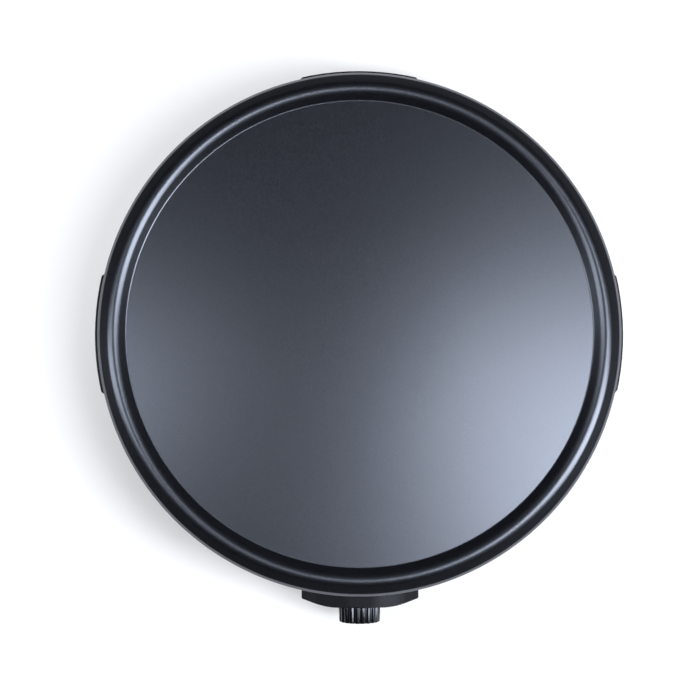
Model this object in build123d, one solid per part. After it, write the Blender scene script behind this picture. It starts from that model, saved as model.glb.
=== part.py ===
"""Electric crepe maker: a round cast plate with a raised rim on a moulded base, one thermostat knob in front.

Millimetres, +Z up, the knob faces -Y. Every piece is drawn around the plate's axis with the table at z = 0,
and is moved along Y on export, so that the origin lies under the centre of the whole footprint.
"""

import os
from math import atan, ceil, cos, degrees, pi, radians, sin, tan

from build123d import *

# Overall
overall_height = 72.0
foot_height = 8.0

# Cooking plate, cast aluminium
disc_radius = 150.0
disc_thickness = 7.5
well_depth = 5.2
well_slope = 40.0
well_fillet = 2.5
crown_inner_radius = 6.5
crown_outer_radius = 6.0
crown_flat = 0.1
rim_slope = 38.0
rim_edge_radius = 4.0
plate_radius = 169.2
skirt_drop = 12.5
skirt_wall = 3.5
crown_wall = 5.4
arc_step = 26.0

# How round the small hidden pieces are drawn
peg_sides = 8

# Heating element, a pressed tubular sheath in a groove under the plate
element_ring_radius = 94.0
element_width = 7.0
element_height = 6.0
element_foot = 4.0
element_gap_half_angle = 20.0
element_bend_radius = 7.0
element_tail = 3.0
groove_depth = 3.6
groove_clearance = 0.35
pin_diameter = 2.4
pin_reach = 13.0
pin_collar_width = 5.6
pin_collar_length = 5.0

# Plate fixing: cast bosses, spacers, long screws, posts
post_angles = (30, 150, 210, 330)
post_circle_radius = 122.0
boss_diameter = 14.0
boss_drop = 5.5
spacer_diameter = 10.0
spacer_height = 6.5
plate_screw_diameter = 4.0
plate_screw_grip = 8.0
plate_screw_head_diameter = 8.0
plate_screw_head_height = 3.0
screw_clearance = 0.3
thread_clearance = 0.03

# Heat shield, pressed steel
shield_thickness = 0.8
shield_margin = 16.0
shield_lip = 3.5
shield_port_margin = 2.5

# Base shell, moulded
shell_wall = 2.6
shell_rim_radius = 164.5
shell_rim_height = 57.0
shell_shoulder_height = 50.0
shell_post_room = 17.0
shell_foot_rise = 5.0
shell_foot_run = 7.0
post_diameter = 12.0
web_thickness = 2.4

# Grips on the left, the right and the back
grip_angles = (0, 90, 180)
grip_width = 78.0
grip_reach = 171.8
grip_height = 11.0

# Control housing in front
housing_width = 76.4
housing_reach = 178.5
housing_corner_depth = 5.9
housing_front_corner = 23.0
housing_front_fillet = 88.0
housing_corner_fillet = 1.2
housing_bottom = 12.0
housing_deck = 46.0
brow_height = 2.8
brow_half_width = 17.0
brow_flank = 10.0
brow_fillet = 5.0
housing_root = 92.0

# Control panel set into the housing's front
panel_half_width = 33.0
panel_bottom = 17.0
panel_top = 43.2
panel_recess = 0.8
panel_thickness = 2.2
panel_gap = 0.2
panel_flange = 1.4
panel_flange_lap = 1.6
panel_depth = 20.0

# Knob
knob_height = 31.0
knob_radius = 13.8
knob_end_radius = 13.15
knob_stand_off = 0.7
knob_length = 10.6
knob_edge = 1.2
flute_count = 20
flute_depth = 1.0
rib_share = 0.36
knob_wall = 2.2
hub_radius = 5.6
spring_room = 0.5
spring_gap = 0.05
spring_width = 3.0
pointer_width = 1.6
pointer_length = 8.0
pointer_depth = 0.5
rest_pointer_angle = -135.0

# Thermostat shaft and its adjusting nut
shaft_radius = 3.0
shaft_flat = 1.2
shaft_fit = 0.05
shaft_in_knob = 8.0
bush_radius = 5.0
bush_length = 5.0
collar_radius = 4.6
collar_length = 1.6
collar_gap = 0.1
thread_radius = 2.5
thread_length = 14.0
circlip_outer_radius = 4.9
circlip_thickness = 0.8
circlip_groove_depth = 0.5
circlip_gap = 0.1
nut_width = 12.0
nut_height = 8.0
nut_thickness = 5.0
nut_travel = 1.5
nut_fit = 0.08
guide_gap = 0.2

# Thermostat bracket, body and capsule
bracket_width = 34.0
bracket_height = 22.0
bracket_thickness = 1.5
panel_hole_gap = 0.4
mount_screw_spacing = 22.0
mount_screw_diameter = 3.0
mount_screw_head_diameter = 5.6
mount_screw_length = 7.0
body_depth = 14.0
body_margin = 0.1
rail_thickness = 2.4
capsule_radius = 9.5
capsule_thickness = 3.0
blade_length = 12.0
blade_thickness = 0.5
blade_width = 6.0
blade_gap = 0.3
contact_radius = 1.6
contact_thickness = 1.0

# Capillary tube and sensing bulb
capillary_diameter = 1.6
capillary_run = 22.3
capillary_bend = 6.0
tube_sides = 6
bulb_diameter = 6.0
bulb_length = 55.0
bulb_front_y = -78.0
seat_gap = 0.05
clip_thickness = 0.8
clip_width = 12.0
clip_ear = 9.0
clip_screw_diameter = 3.0
clip_screw_head_diameter = 5.5
clip_screw_head_height = 1.8
clip_screw_grip = 4.0

# Thermal fuse
fuse_diameter = 5.0
fuse_length = 20.0
fuse_y = 55.0
fuse_cap_diameter = 3.6
fuse_cap_length = 4.0

# Indicator lamps
lamp_spacing = 52.0
lens_radius = 3.4
lens_flange_radius = 4.4
lens_flange = 0.9
lens_sink = 0.6
lens_fit = 0.1
lamp_radius = 2.4
lamp_length = 11.0
lamp_gap = 0.3

# Terminal block and earth
block_width = 34.0
block_depth = 15.0
block_height = 13.0
block_inset = 8.0
block_ways = 3
block_bore_radius = 1.9
block_screw_radius = 1.7
block_screw_length = 4.0
block_fix_diameter = 3.0
block_flange = 8.0
block_flange_thickness = 3.0
earth_tag_gap = 0.92
earth_tag_width = 7.0
earth_tag_length = 13.0
earth_tag_thickness = 0.8

# Cord inlet at the back
inlet_height = 26.0
inlet_boss_radius = 9.5
inlet_boss_rise = 2.2
inlet_boss_length = 22.0
bush_bore_radius = 3.7
bush_body_radius = 5.6
bush_flange_radius = 8.4
bush_flange = 2.5
bush_nut_length = 4.0
bush_nut_width = 15.0
bush_fit = 0.15

# Bottom cover
cover_gap = 4.5
cover_lap = 8.0
cover_thickness = 2.6
cover_screw_angles = (66, 114, 246, 294)
cover_boss_radius = 4.0
cover_boss_height = 10.0
cover_screw_diameter = 3.0
cover_screw_head_diameter = 6.0
cover_screw_head_height = 1.8
cover_screw_grip = 8.0
vent_count = 20
vent_width = 4.0
vent_inner_radius = 42.0
vent_outer_radius = 78.0

# Rubber feet
foot_angles = (48, 132, 228, 312)
foot_inset = 20.0
foot_radius = 10.5
foot_stem_radius = 3.4
foot_stem_gap = 0.1
foot_stem_rise = 2.0

# Heights and radii that follow from the sizes above
crown_z = overall_height
disc_z = crown_z - well_depth
plate_under_z = disc_z - disc_thickness
skirt_z = crown_z - skirt_drop
boss_z = plate_under_z - boss_drop
shield_z = boss_z - spacer_height
post_top_z = shield_z - shield_thickness
ledge_z = foot_height
ledge_top_z = ledge_z + shell_wall
cover_z = ledge_z - cover_thickness
groove_z = plate_under_z + groove_depth
element_top_z = groove_z - seat_gap
grip_z = shell_rim_height - grip_height
brow_z = housing_deck + brow_height
block_screw_x = -(block_width + block_flange) / 2
shield_radius = post_circle_radius + shield_margin
shell_foot_radius = post_circle_radius + shell_post_room
foot_circle_radius = shell_foot_radius - foot_inset
cover_radius = foot_circle_radius - foot_radius - cover_gap
ledge_inner_radius = cover_radius - cover_lap
cover_screw_circle = (ledge_inner_radius + cover_radius) / 2
block_y = ledge_inner_radius + block_inset
cover_boss_side = cover_screw_circle * cos(radians(cover_screw_angles[0])) - cover_boss_radius
earth_stud_x = cover_boss_side - earth_tag_gap - earth_tag_width / 4
foot_line_z = ledge_z + shell_foot_rise
flank_lean = (shell_rim_radius - shell_foot_radius) / (shell_shoulder_height - foot_line_z)
inlet_top_z = inlet_height + bush_flange_radius
inlet_boss_reach = shell_foot_radius + (inlet_top_z - foot_line_z) * flank_lean + inlet_boss_rise
inlet_boss_inner = inlet_boss_reach - inlet_boss_length

# Places along Y of what stands one behind the other in the control housing
panel_front_y = -(housing_reach - panel_recess)
flange_back_y = -(housing_reach - shell_wall - panel_gap - panel_flange)
bracket_front_y = flange_back_y + panel_gap
bracket_back_y = bracket_front_y + bracket_thickness
bush_back_y = bracket_back_y + bush_length
collar_front_y = bush_back_y + collar_gap
collar_back_y = collar_front_y + collar_length
thread_end_y = collar_back_y + thread_length
nut_front_y = collar_back_y + nut_travel + 2 * blade_gap
nut_back_y = nut_front_y + nut_thickness
body_front_y = nut_back_y + blade_length
body_back_y = body_front_y + body_depth
capsule_front_y = body_back_y + bracket_thickness
capsule_back_y = capsule_front_y + capsule_thickness
capillary_riser_y = capsule_back_y + capillary_run
knob_back_y = -(housing_reach + knob_stand_off)
knob_front_y = knob_back_y - knob_length

# The origin sits under the middle of the footprint, between the knob's end and the rear grip
axis_offset_y = (-knob_front_y - grip_reach) / 2


def polar(radius, angle, z=0.0):
    """A point at a radius and an angle in degrees round the plate's axis."""
    return (radius * cos(radians(angle)), radius * sin(radians(angle)), z)


def disk(radius, height, x=0.0, y=0.0, z=0.0):
    """An upright cylinder that stands on z."""
    return Pos(x, y, z) * Cylinder(radius, height, align=(Align.CENTER, Align.CENTER, Align.MIN))


def peg(radius, height, x=0.0, y=0.0, z=0.0):
    """An upright eight-sided peg, for small hidden shanks, bosses and the holes that take them."""
    return Pos(x, y, z) * extrude(RegularPolygon(radius, peg_sides), height)


def pin(radius, y_start, y_end, x=0.0, z=0.0):
    """An eight-sided peg along Y between two places."""
    return Pos(x, y_start, z) * Rot(-90, 0, 0) * extrude(RegularPolygon(radius, peg_sides), y_end - y_start)


def rod(radius, y_start, y_end, x=0.0, z=0.0):
    """A cylinder along Y between two places."""
    middle = (y_start + y_end) / 2
    return Pos(x, middle, z) * Rot(90, 0, 0) * Cylinder(radius, abs(y_end - y_start))


def block(x_low, x_high, y_low, y_high, z_low, z_high):
    """A rectangular block between six planes."""
    size = (x_high - x_low, y_high - y_low, z_high - z_low)
    centre = ((x_low + x_high) / 2, (y_low + y_high) / 2, (z_low + z_high) / 2)
    return Pos(*centre) * Box(*size)


def turned(points):
    """A solid of revolution about the plate's axis from a closed outline of radius and height."""
    outline = Plane.XZ * make_face(Polyline(*points, close=True))
    return revolve(outline, axis=Axis.Z)


def around(angles, radius, piece):
    """Copies of a piece drawn at the origin, set out on a circle and turned to face outwards."""
    return [Rot(0, 0, angle) * Pos(radius, 0, 0) * piece for angle in angles]


def round_corner(before, corner, after, radius):
    """Points along the tangent arc that rounds a corner of an outline, one at least every arc step."""
    corner = Vector(*corner)
    towards_before = (Vector(*before) - corner).normalized()
    towards_after = (Vector(*after) - corner).normalized()
    half = radians(towards_before.get_angle(towards_after)) / 2
    centre = corner + (towards_before + towards_after).normalized() * (radius / sin(half))
    start = corner + towards_before * (radius / tan(half)) - centre
    end = corner + towards_after * (radius / tan(half)) - centre
    turn = pi - 2 * half
    count = max(1, ceil(degrees(turn) / arc_step - 0.01))
    points = []
    for i in range(count + 1):
        share = i / count
        point = centre + (start * sin(turn * (1 - share)) + end * sin(turn * share)) * (1 / sin(turn))
        points.append((point.X, point.Y))
    return points


def rounded_line(points, radii):
    """An outline whose inner corners are rounded, as a list of points."""
    line = [points[0]]
    for before, corner, after, radius in zip(points, points[1:], points[2:], radii):
        line += round_corner(before, corner, after, radius)
    return line + [points[-1]]


def plate_section():
    """The plate's top line from the axis over the rim and down the skirt."""
    slope_run = well_depth / tan(radians(well_slope))
    foot_of_slope = disc_radius + well_fillet * tan(radians(well_slope / 2))
    crown_corner = foot_of_slope + slope_run
    crown_end = crown_corner + crown_inner_radius * tan(radians(well_slope / 2)) + crown_flat
    outer_corner = crown_end + crown_outer_radius * tan(radians(rim_slope / 2))
    edge_z = crown_z - (plate_radius - outer_corner) * tan(radians(rim_slope))
    corners = [
        (0, disc_z),
        (foot_of_slope, disc_z),
        (crown_corner, crown_z),
        (outer_corner, crown_z),
        (plate_radius, edge_z),
        (plate_radius, skirt_z),
    ]
    return rounded_line(corners, [well_fillet, crown_inner_radius, crown_outer_radius, rim_edge_radius])


def make_cooking_plate():
    """The cast plate: flat disc, raised crown, skirt, the element's groove and four screw bosses."""
    cavity_top = crown_z - crown_wall
    cavity_outer = plate_radius - skirt_wall
    cavity_inner = disc_radius + (cavity_top - plate_under_z) / tan(radians(well_slope)) + crown_wall / 4
    groove_half = element_width / 2 + groove_clearance
    under_line = [
        (cavity_outer, skirt_z),
        (cavity_outer, cavity_top),
        (cavity_inner, cavity_top),
        (disc_radius, plate_under_z),
        (element_ring_radius + groove_half, plate_under_z),
        (element_ring_radius + groove_half, groove_z),
        (element_ring_radius - groove_half, groove_z),
        (element_ring_radius - groove_half, plate_under_z),
        (0, plate_under_z),
    ]
    plate = turned(plate_section() + under_line)
    boss = peg(boss_diameter / 2, boss_drop, z=boss_z)
    thread = peg(plate_screw_diameter / 2 + thread_clearance, plate_screw_grip + 1, z=boss_z - 1)
    plate += around(post_angles, post_circle_radius, boss)
    plate -= around(post_angles, post_circle_radius, thread)
    for x, y in clip_screw_places():
        hole = clip_screw_diameter / 2 + thread_clearance
        plate -= peg(hole, clip_screw_grip + 1, x, y, plate_under_z - 1)
    return plate


def clip_screw_places():
    """Where the two clips under the plate are screwed to it."""
    bulb_x = bulb_diameter / 2 + clip_thickness + clip_ear / 2
    bulb_y = bulb_front_y + bulb_length / 2
    fuse_x = 0.0
    fuse_screw_y = fuse_y + fuse_diameter / 2 + clip_thickness + clip_ear / 2
    return [(bulb_x, bulb_y), (fuse_x, fuse_screw_y)]


def element_section():
    """The pressed sheath in section: flat against the plate and narrower below."""
    half = element_width / 2
    foot = element_foot / 2
    return Polygon((-half, 0), (-foot, -element_height), (foot, -element_height), (half, 0), align=None)


def element_tail_place(side):
    """Where one cold end stands, under the plate, with its lower end's height."""
    angle = 270 + side * element_gap_half_angle
    ring_end = Vector(*polar(element_ring_radius, angle))
    inwards = Vector(*polar(element_bend_radius, angle - side * 90))
    tail = ring_end + inwards
    tail_z = element_top_z - element_height / 2 - element_bend_radius - element_tail
    return tail.X, tail.Y, tail_z


def make_heating_element():
    """The sheath: an open ring in the plate's groove, with both ends bent straight down."""
    middle_z = element_top_z - element_height / 2
    start_angle = 270 + element_gap_half_angle
    section = Plane.XZ * Pos(element_ring_radius, element_top_z) * element_section()
    ring = revolve(section, axis=Axis.Z, revolution_arc=360 - 2 * element_gap_half_angle)
    element = Rot(0, 0, start_angle) * ring
    for side in (-1, 1):
        angle = 270 + side * element_gap_half_angle
        at_end = Rot(0, 0, angle) * Pos(element_ring_radius, 0, 0)
        section = Plane.XZ * Pos(0, element_top_z) * element_section()
        bend_axis = Axis((0, 0, middle_z - element_bend_radius), (side, 0, 0))
        bend = revolve(section, axis=bend_axis, revolution_arc=90)
        lower_z = element_tail_place(side)[2]
        tail = Pos(0, -side * element_bend_radius, lower_z) * Box(
            element_width,
            element_height,
            element_tail,
            align=(Align.CENTER, Align.CENTER, Align.MIN),
        )
        element += at_end * bend
        element += at_end * tail
    return element


def make_element_pins():
    """Two steel terminal pins that stand out of the cold ends."""
    pins = []
    for side in (-1, 1):
        x, y, z = element_tail_place(side)
        pins.append(peg(pin_diameter / 2, pin_reach, x, y, z - pin_reach))
    return pins


def make_element_collars():
    """Two ceramic collars that close the cold ends round the pins."""
    collars = []
    for side in (-1, 1):
        x, y, z = element_tail_place(side)
        ring = Box(pin_collar_width, pin_collar_width, pin_collar_length)
        ring = Pos(x, y, z - pin_collar_length / 2) * ring
        collars.append(ring - peg(pin_diameter / 2, pin_collar_length, x, y, z - pin_collar_length))
    return collars


def make_heat_shield():
    """The pressed dish between the hot plate and the wiring, with ports for the ends and the capillary."""
    lip_inner = shield_radius - shield_thickness
    shield = turned(
        [
            (0, shield_z),
            (lip_inner, shield_z),
            (lip_inner, shield_z + shield_lip),
            (shield_radius, shield_z + shield_lip),
            (shield_radius, shield_z - shield_thickness),
            (0, shield_z - shield_thickness),
        ]
    )
    low = shield_z - shield_thickness - 1
    height = shield_thickness + 2
    port = max(element_width, element_height) + 2 * shield_port_margin
    for side in (-1, 1):
        x, y, _ = element_tail_place(side)
        shield -= Pos(x, y, shield_z) * Box(port, port, height)
    riser_port = capillary_diameter + 2 * shield_port_margin
    shield -= Pos(0, capillary_riser_y, shield_z) * Box(riser_port, riser_port, height)
    hole = peg(plate_screw_diameter / 2 + screw_clearance, height, z=low)
    return shield - around(post_angles, post_circle_radius, hole)


def hexagon(width, height, z=0.0):
    """A hexagonal prism across its flats."""
    return Pos(0, 0, z) * extrude(RegularPolygon(width / 2, 6, major_radius=False), height)


def make_plate_spacers():
    """Four hexagonal spacers that hold the heat shield off the plate's bosses."""
    tube = hexagon(spacer_diameter, spacer_height, shield_z)
    tube -= peg(plate_screw_diameter / 2 + screw_clearance, spacer_height, z=shield_z)
    return around(post_angles, post_circle_radius, tube)


def make_plate_screws():
    """Four long screws, up through the posts, the shield and the spacers into the plate."""
    tip_z = boss_z + plate_screw_grip - 1
    screw = hexagon(plate_screw_head_diameter, plate_screw_head_height, ledge_z - plate_screw_head_height)
    screw += peg(plate_screw_diameter / 2, tip_z - ledge_z, z=ledge_z)
    return around(post_angles, post_circle_radius, screw)


def shell_line(inset, top_z, bottom_z):
    """The bowl's line from the rim down to the foot, drawn in by an inset."""
    shoulder_z = shell_shoulder_height + inset / 3
    foot_z = foot_line_z + inset / 3
    return [
        (shell_rim_radius - inset, top_z),
        (shell_rim_radius - inset, shoulder_z),
        (shell_foot_radius - inset, foot_z),
        (shell_foot_radius - shell_foot_run - inset / 3, bottom_z),
    ]


def housing_plan(inset=0.0):
    """The control housing seen from above, drawn in by an inset."""
    half = housing_width / 2
    corner_y = -(housing_reach - housing_corner_depth)
    bow = housing_front_fillet / 2
    outline = FilletPolyline(
        (-half, -housing_root),
        (-half, corner_y),
        (-housing_front_corner, -housing_reach),
        (housing_front_corner, -housing_reach),
        (half, corner_y),
        (half, -housing_root),
        radius=[housing_corner_fillet, bow, bow, housing_corner_fillet],
    )
    closing = Line(outline @ 1, outline @ 0)
    face = make_face(outline + closing)
    return offset(face, -inset) if inset else face


def slab(face, z_low, z_high):
    """A flat face pulled up between two heights."""
    return Pos(0, 0, z_low) * extrude(face, z_high - z_low)


def brow_front_view(shift=0.0):
    """The raised brow over the knob, as an outline across the deck."""
    low = housing_deck - shift
    high = brow_z - shift
    outer = brow_half_width + brow_flank
    ends = housing_width
    line = FilletPolyline(
        (-ends, low),
        (-outer, low),
        (-brow_half_width, high),
        (brow_half_width, high),
        (outer, low),
        (ends, low),
        radius=brow_fillet,
    )
    frame = Polyline(line @ 1, (ends, 0), (-ends, 0), line @ 0)
    return Plane.XZ * make_face(line + frame)


def housing_block(inset, z_low, deck_shift):
    """The housing as a solid under its browed deck."""
    body = slab(housing_plan(inset), z_low, brow_z + 1)
    deck = extrude(brow_front_view(deck_shift), 2 * housing_reach)
    return body & Pos(0, 10, 0) * deck


def grip(inset, z_low, z_high):
    """One grip at angle zero: a sector of a disc with parallel sides."""
    width = grip_width - 2 * inset
    plan = Circle(grip_reach - inset) & Pos(grip_reach / 2, 0) * Rectangle(grip_reach, width)
    return slab(plan, z_low, z_high)


def web_plan(angle):
    """A rib in plan that ties a post to the flank of the bowl."""
    length = shell_rim_radius - post_circle_radius
    return Rot(0, 0, angle) * Pos(post_circle_radius + length / 2, 0) * Rectangle(length, web_thickness)


def make_base_shell():
    """The moulded bowl with three grips, the control housing, posts, webs, bosses and the cord inlet."""
    above = shell_rim_height + 1
    bowl = turned(shell_line(0, shell_rim_height, ledge_z) + [(0, ledge_z), (0, shell_rim_height)])
    inner = turned(shell_line(shell_wall, above, ledge_top_z) + [(0, ledge_top_z), (0, above)])
    shell = bowl + housing_block(0, housing_bottom, 0)
    for angle in grip_angles:
        shell += Rot(0, 0, angle) * grip(0, grip_z, shell_rim_height)
    for angle in grip_angles:
        shell -= Rot(0, 0, angle) * grip(shell_wall, grip_z - 1, shell_rim_height - shell_wall) - bowl
    shell -= inner
    shell -= housing_block(shell_wall, housing_bottom + shell_wall, shell_wall)
    shell += rod(inlet_boss_radius, inlet_boss_inner, inlet_boss_reach, z=inlet_height)
    shell -= disk(ledge_inner_radius, shell_wall + 2, z=ledge_z - 1)
    webs = [slab(web_plan(angle), ledge_top_z - 1, post_top_z - 8) for angle in post_angles]
    shell += [web & bowl for web in webs]
    shell += around(post_angles, post_circle_radius, peg(post_diameter / 2, post_top_z - ledge_z, z=ledge_z))
    boss = peg(cover_boss_radius, cover_boss_height, z=ledge_z)
    shell += around(cover_screw_angles, cover_screw_circle, boss)
    return shell - shell_holes()


def shell_holes():
    """Everything bored or cut through the shell."""
    bore = peg(plate_screw_diameter / 2 + screw_clearance, overall_height, z=0)
    cuts = around(post_angles, post_circle_radius, bore)
    pilot = peg(cover_screw_diameter / 2 + thread_clearance, cover_boss_height, z=ledge_z - 1)
    cuts += around(cover_screw_angles, cover_screw_circle, pilot)
    stem = peg(foot_stem_radius + foot_stem_gap, shell_wall + 2, z=ledge_z - 1)
    cuts += around(foot_angles, foot_circle_radius, stem)
    bush_hole = bush_body_radius + bush_fit
    cuts.append(rod(bush_hole, inlet_boss_inner - 1, inlet_boss_reach + 1, z=inlet_height))
    front = -housing_reach - 1
    back = panel_depth - housing_reach
    cuts.append(block(-panel_half_width, panel_half_width, front, back, panel_bottom, panel_top))
    fix = block_fix_diameter / 2 + thread_clearance
    for x in (block_screw_x, earth_stud_x):
        cuts.append(peg(fix, shell_wall + 2, x, block_y, ledge_z - 1))
    return cuts


def make_bottom_cover():
    """The round cover under the base, with a ring of radial vents."""
    cover = disk(cover_radius, cover_thickness, z=cover_z)
    hole = peg(cover_screw_diameter / 2 + screw_clearance, cover_thickness, z=cover_z)
    length = vent_outer_radius - vent_inner_radius
    middle = (vent_outer_radius + vent_inner_radius) / 2
    vent = slab(Rectangle(length, vent_width), cover_z - 1, cover_z + cover_thickness + 1)
    cover -= around([360 / vent_count * i for i in range(vent_count)], middle, vent)
    return cover - around(cover_screw_angles, cover_screw_circle, hole)


def make_cover_screws():
    """Four screws that hold the bottom cover."""
    screw = hexagon(cover_screw_head_diameter, cover_screw_head_height, cover_z - cover_screw_head_height)
    screw += peg(cover_screw_diameter / 2, cover_thickness + cover_screw_grip, z=cover_z)
    return around(cover_screw_angles, cover_screw_circle, screw)


def make_rubber_feet():
    """Four round feet whose stems are pressed into the base."""
    foot = disk(foot_radius, foot_height)
    foot += peg(foot_stem_radius, shell_wall + foot_stem_rise, z=ledge_z)
    return around(foot_angles, foot_circle_radius, foot)


def make_control_panel():
    """The panel in the housing's front: a curved face in the window and a flange behind the wall."""
    face_ring = slab(housing_plan(panel_recess), 0, brow_z) - slab(
        housing_plan(panel_recess + panel_thickness), -1, brow_z + 1
    )
    half = panel_half_width - panel_gap
    low = panel_bottom + panel_gap
    high = panel_top - panel_gap
    front = -housing_reach - 1
    back = panel_depth - housing_reach
    panel = face_ring & block(-half, half, front, back, low, high)
    flange_start = shell_wall + panel_gap / 2
    flange_ring = slab(housing_plan(flange_start), 0, brow_z) - slab(
        housing_plan(flange_start + panel_gap / 2 + panel_flange), -1, brow_z + 1
    )
    lap = panel_flange_lap
    panel += flange_ring & block(
        -panel_half_width - lap,
        panel_half_width + lap,
        front,
        back,
        panel_bottom - lap,
        panel_top - lap / 2,
    )
    panel -= rod(circlip_outer_radius + panel_hole_gap, front, back, z=knob_height)
    for side in (-1, 1):
        panel -= rod(lens_radius + lens_fit, front, back, side * lamp_spacing / 2, knob_height)
        x = side * mount_screw_spacing / 2
        panel -= pin(mount_screw_diameter / 2 + thread_clearance, front, back, x, knob_height)
        sink_end = panel_front_y + mount_screw_head_diameter / 4
        panel -= pin(mount_screw_head_diameter / 2 + thread_clearance, front, sink_end, x, knob_height)
    return panel


def make_panel_screws():
    """Two screws through the panel into the thermostat bracket, hidden behind the knob."""
    screws = []
    for side in (-1, 1):
        x = side * mount_screw_spacing / 2
        head_end = panel_front_y + mount_screw_head_diameter / 4
        head_start = panel_front_y + thread_clearance
        screw = pin(mount_screw_head_diameter / 2, head_start, head_end, x, knob_height)
        screw += pin(mount_screw_diameter / 2, head_end, head_start + mount_screw_length, x, knob_height)
        screws.append(screw)
    return screws


def fluted_outline(radius):
    """The knob's outline: ribs with flat crests and V-shaped flutes between them."""
    pitch = 2 * pi / flute_count
    crest_half = pitch * rib_share / 2
    points = []
    for i in range(flute_count):
        for offset, reach in ((-crest_half, radius), (crest_half, radius), (pitch / 2, radius - flute_depth)):
            angle = pitch * i + offset
            points.append((reach * cos(angle), reach * sin(angle)))
    return Polygon(*points, align=None)


def make_knob():
    """The fluted knob: a tapered cup with a D-bored hub and a pointer groove in its end face."""
    length = knob_length
    base = fluted_outline(knob_radius)
    sections = [base]
    for height, radius in ((length - knob_edge, knob_end_radius), (length, knob_end_radius - knob_edge)):
        sections.append(Pos(0, 0, height) * scale(base, radius / knob_radius))
    knob = loft(sections, ruled=True)
    hollow = RegularPolygon(knob_end_radius - knob_wall - flute_depth, flute_count)
    knob -= extrude(hollow, length - knob_wall)
    knob += peg(hub_radius, length - knob_wall / 2)
    bore = disk(shaft_radius + shaft_fit, shaft_in_knob + shaft_fit)
    flat_y = shaft_radius - shaft_flat + spring_room
    knob -= bore & block(-hub_radius, hub_radius, -hub_radius, flat_y, -1, length)
    groove_end = knob_end_radius - 2 * knob_edge
    half = pointer_width / 2
    groove = block(-half, half, groove_end - pointer_length, groove_end, length - pointer_depth, length + 1)
    return on_knob_axis(knob - groove)


def on_knob_axis(piece):
    """Moves a piece drawn with +Z out of the knob's end and +Y up onto the knob's axis, at its rest angle."""
    turned_piece = Rot(0, 0, -rest_pointer_angle) * piece
    return Pos(0, knob_back_y, knob_height) * Rot(90, 0, 0) * turned_piece


def make_knob_spring():
    """The leaf between the shaft's flat and the hub, which holds the knob on."""
    low = shaft_radius - shaft_flat + spring_gap
    high = shaft_radius - shaft_flat + spring_room - spring_gap
    half = spring_width / 2
    return on_knob_axis(block(-half, half, low, high, 0.5, shaft_in_knob - 0.5))


def make_thermostat_shaft():
    """The shaft: a D-shaped end in the knob, a groove for the clip, a collar and the adjusting thread."""
    tip_y = knob_back_y - shaft_in_knob
    shaft = rod(shaft_radius, tip_y, collar_front_y, z=knob_height)
    flat = block(-hub_radius, hub_radius, shaft_radius - shaft_flat, hub_radius, 0, shaft_in_knob + 1)
    shaft -= on_knob_axis(flat)
    groove_back = bracket_front_y - circlip_gap
    groove_front = groove_back - circlip_thickness
    ring = rod(shaft_radius + 1, groove_front, groove_back, z=knob_height)
    ring -= rod(shaft_radius - circlip_groove_depth, groove_front, groove_back, z=knob_height)
    shaft -= ring
    shaft += rod(collar_radius, collar_front_y, collar_back_y, z=knob_height)
    shaft += rod(thread_radius, collar_back_y, thread_end_y, z=knob_height)
    return shaft


def make_shaft_circlip():
    """The E-clip in the shaft's groove, in front of the bracket."""
    back = bracket_front_y - circlip_gap - thread_clearance
    front = back - circlip_thickness + 2 * thread_clearance
    bore = shaft_radius - circlip_groove_depth + thread_clearance
    clip = rod(circlip_outer_radius, front, back, z=knob_height) - rod(bore, front, back, z=knob_height)
    mouth = bore * 0.8
    return clip - block(-mouth, mouth, front - 1, back + 1, knob_height - 2 * bore, knob_height)


def make_thermostat_bracket():
    """The steel bracket: a front plate with the shaft's bush, two arms and a rear plate."""
    half_width = bracket_width / 2
    low = knob_height - bracket_height / 2
    high = knob_height + bracket_height / 2
    back = body_back_y + bracket_thickness
    frame = block(-half_width, half_width, bracket_front_y, back, low, high)
    inner = half_width - bracket_thickness
    frame -= block(-inner, inner, bracket_back_y, back - bracket_thickness, low - 1, high + 1)
    frame += pin(bush_radius, bracket_back_y, bush_back_y, z=knob_height)
    frame -= rod(shaft_radius + shaft_fit, bracket_front_y - 1, bush_back_y + 1, z=knob_height)
    frame -= pin(capillary_diameter, body_back_y - 1, back + 1, z=knob_height)
    for side in (-1, 1):
        x = side * mount_screw_spacing / 2
        hole = mount_screw_diameter / 2 + thread_clearance
        frame -= pin(hole, bracket_front_y - 1, bracket_back_y + 1, x, knob_height)
    return frame


def make_thermostat_body():
    """The ceramic body with two rails that keep the adjusting nut from turning."""
    half_width = bracket_width / 2 - bracket_thickness - body_margin
    low = knob_height - bracket_height / 2
    high = knob_height + bracket_height / 2
    body = block(-half_width, half_width, body_front_y, body_back_y, low, high)
    rail_in = nut_width / 2 + guide_gap
    rail_low = knob_height - nut_height / 2
    for side in (-1, 1):
        near, far = sorted((side * rail_in, side * (rail_in + rail_thickness)))
        body += block(near, far, collar_back_y, body_front_y + 1, rail_low, knob_height + nut_height / 2)
    well = thread_end_y + 1
    body -= rod(thread_radius + 1, body_front_y - 1, well, z=knob_height)
    return body


def make_adjusting_nut():
    """The nut that travels along the shaft's thread as the knob is turned."""
    half_width = nut_width / 2
    half_height = nut_height / 2
    low = knob_height - half_height
    nut = block(-half_width, half_width, nut_front_y, nut_back_y, low, knob_height + half_height)
    return nut - rod(thread_radius + nut_fit, nut_front_y - 1, nut_back_y + 1, z=knob_height)


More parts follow.
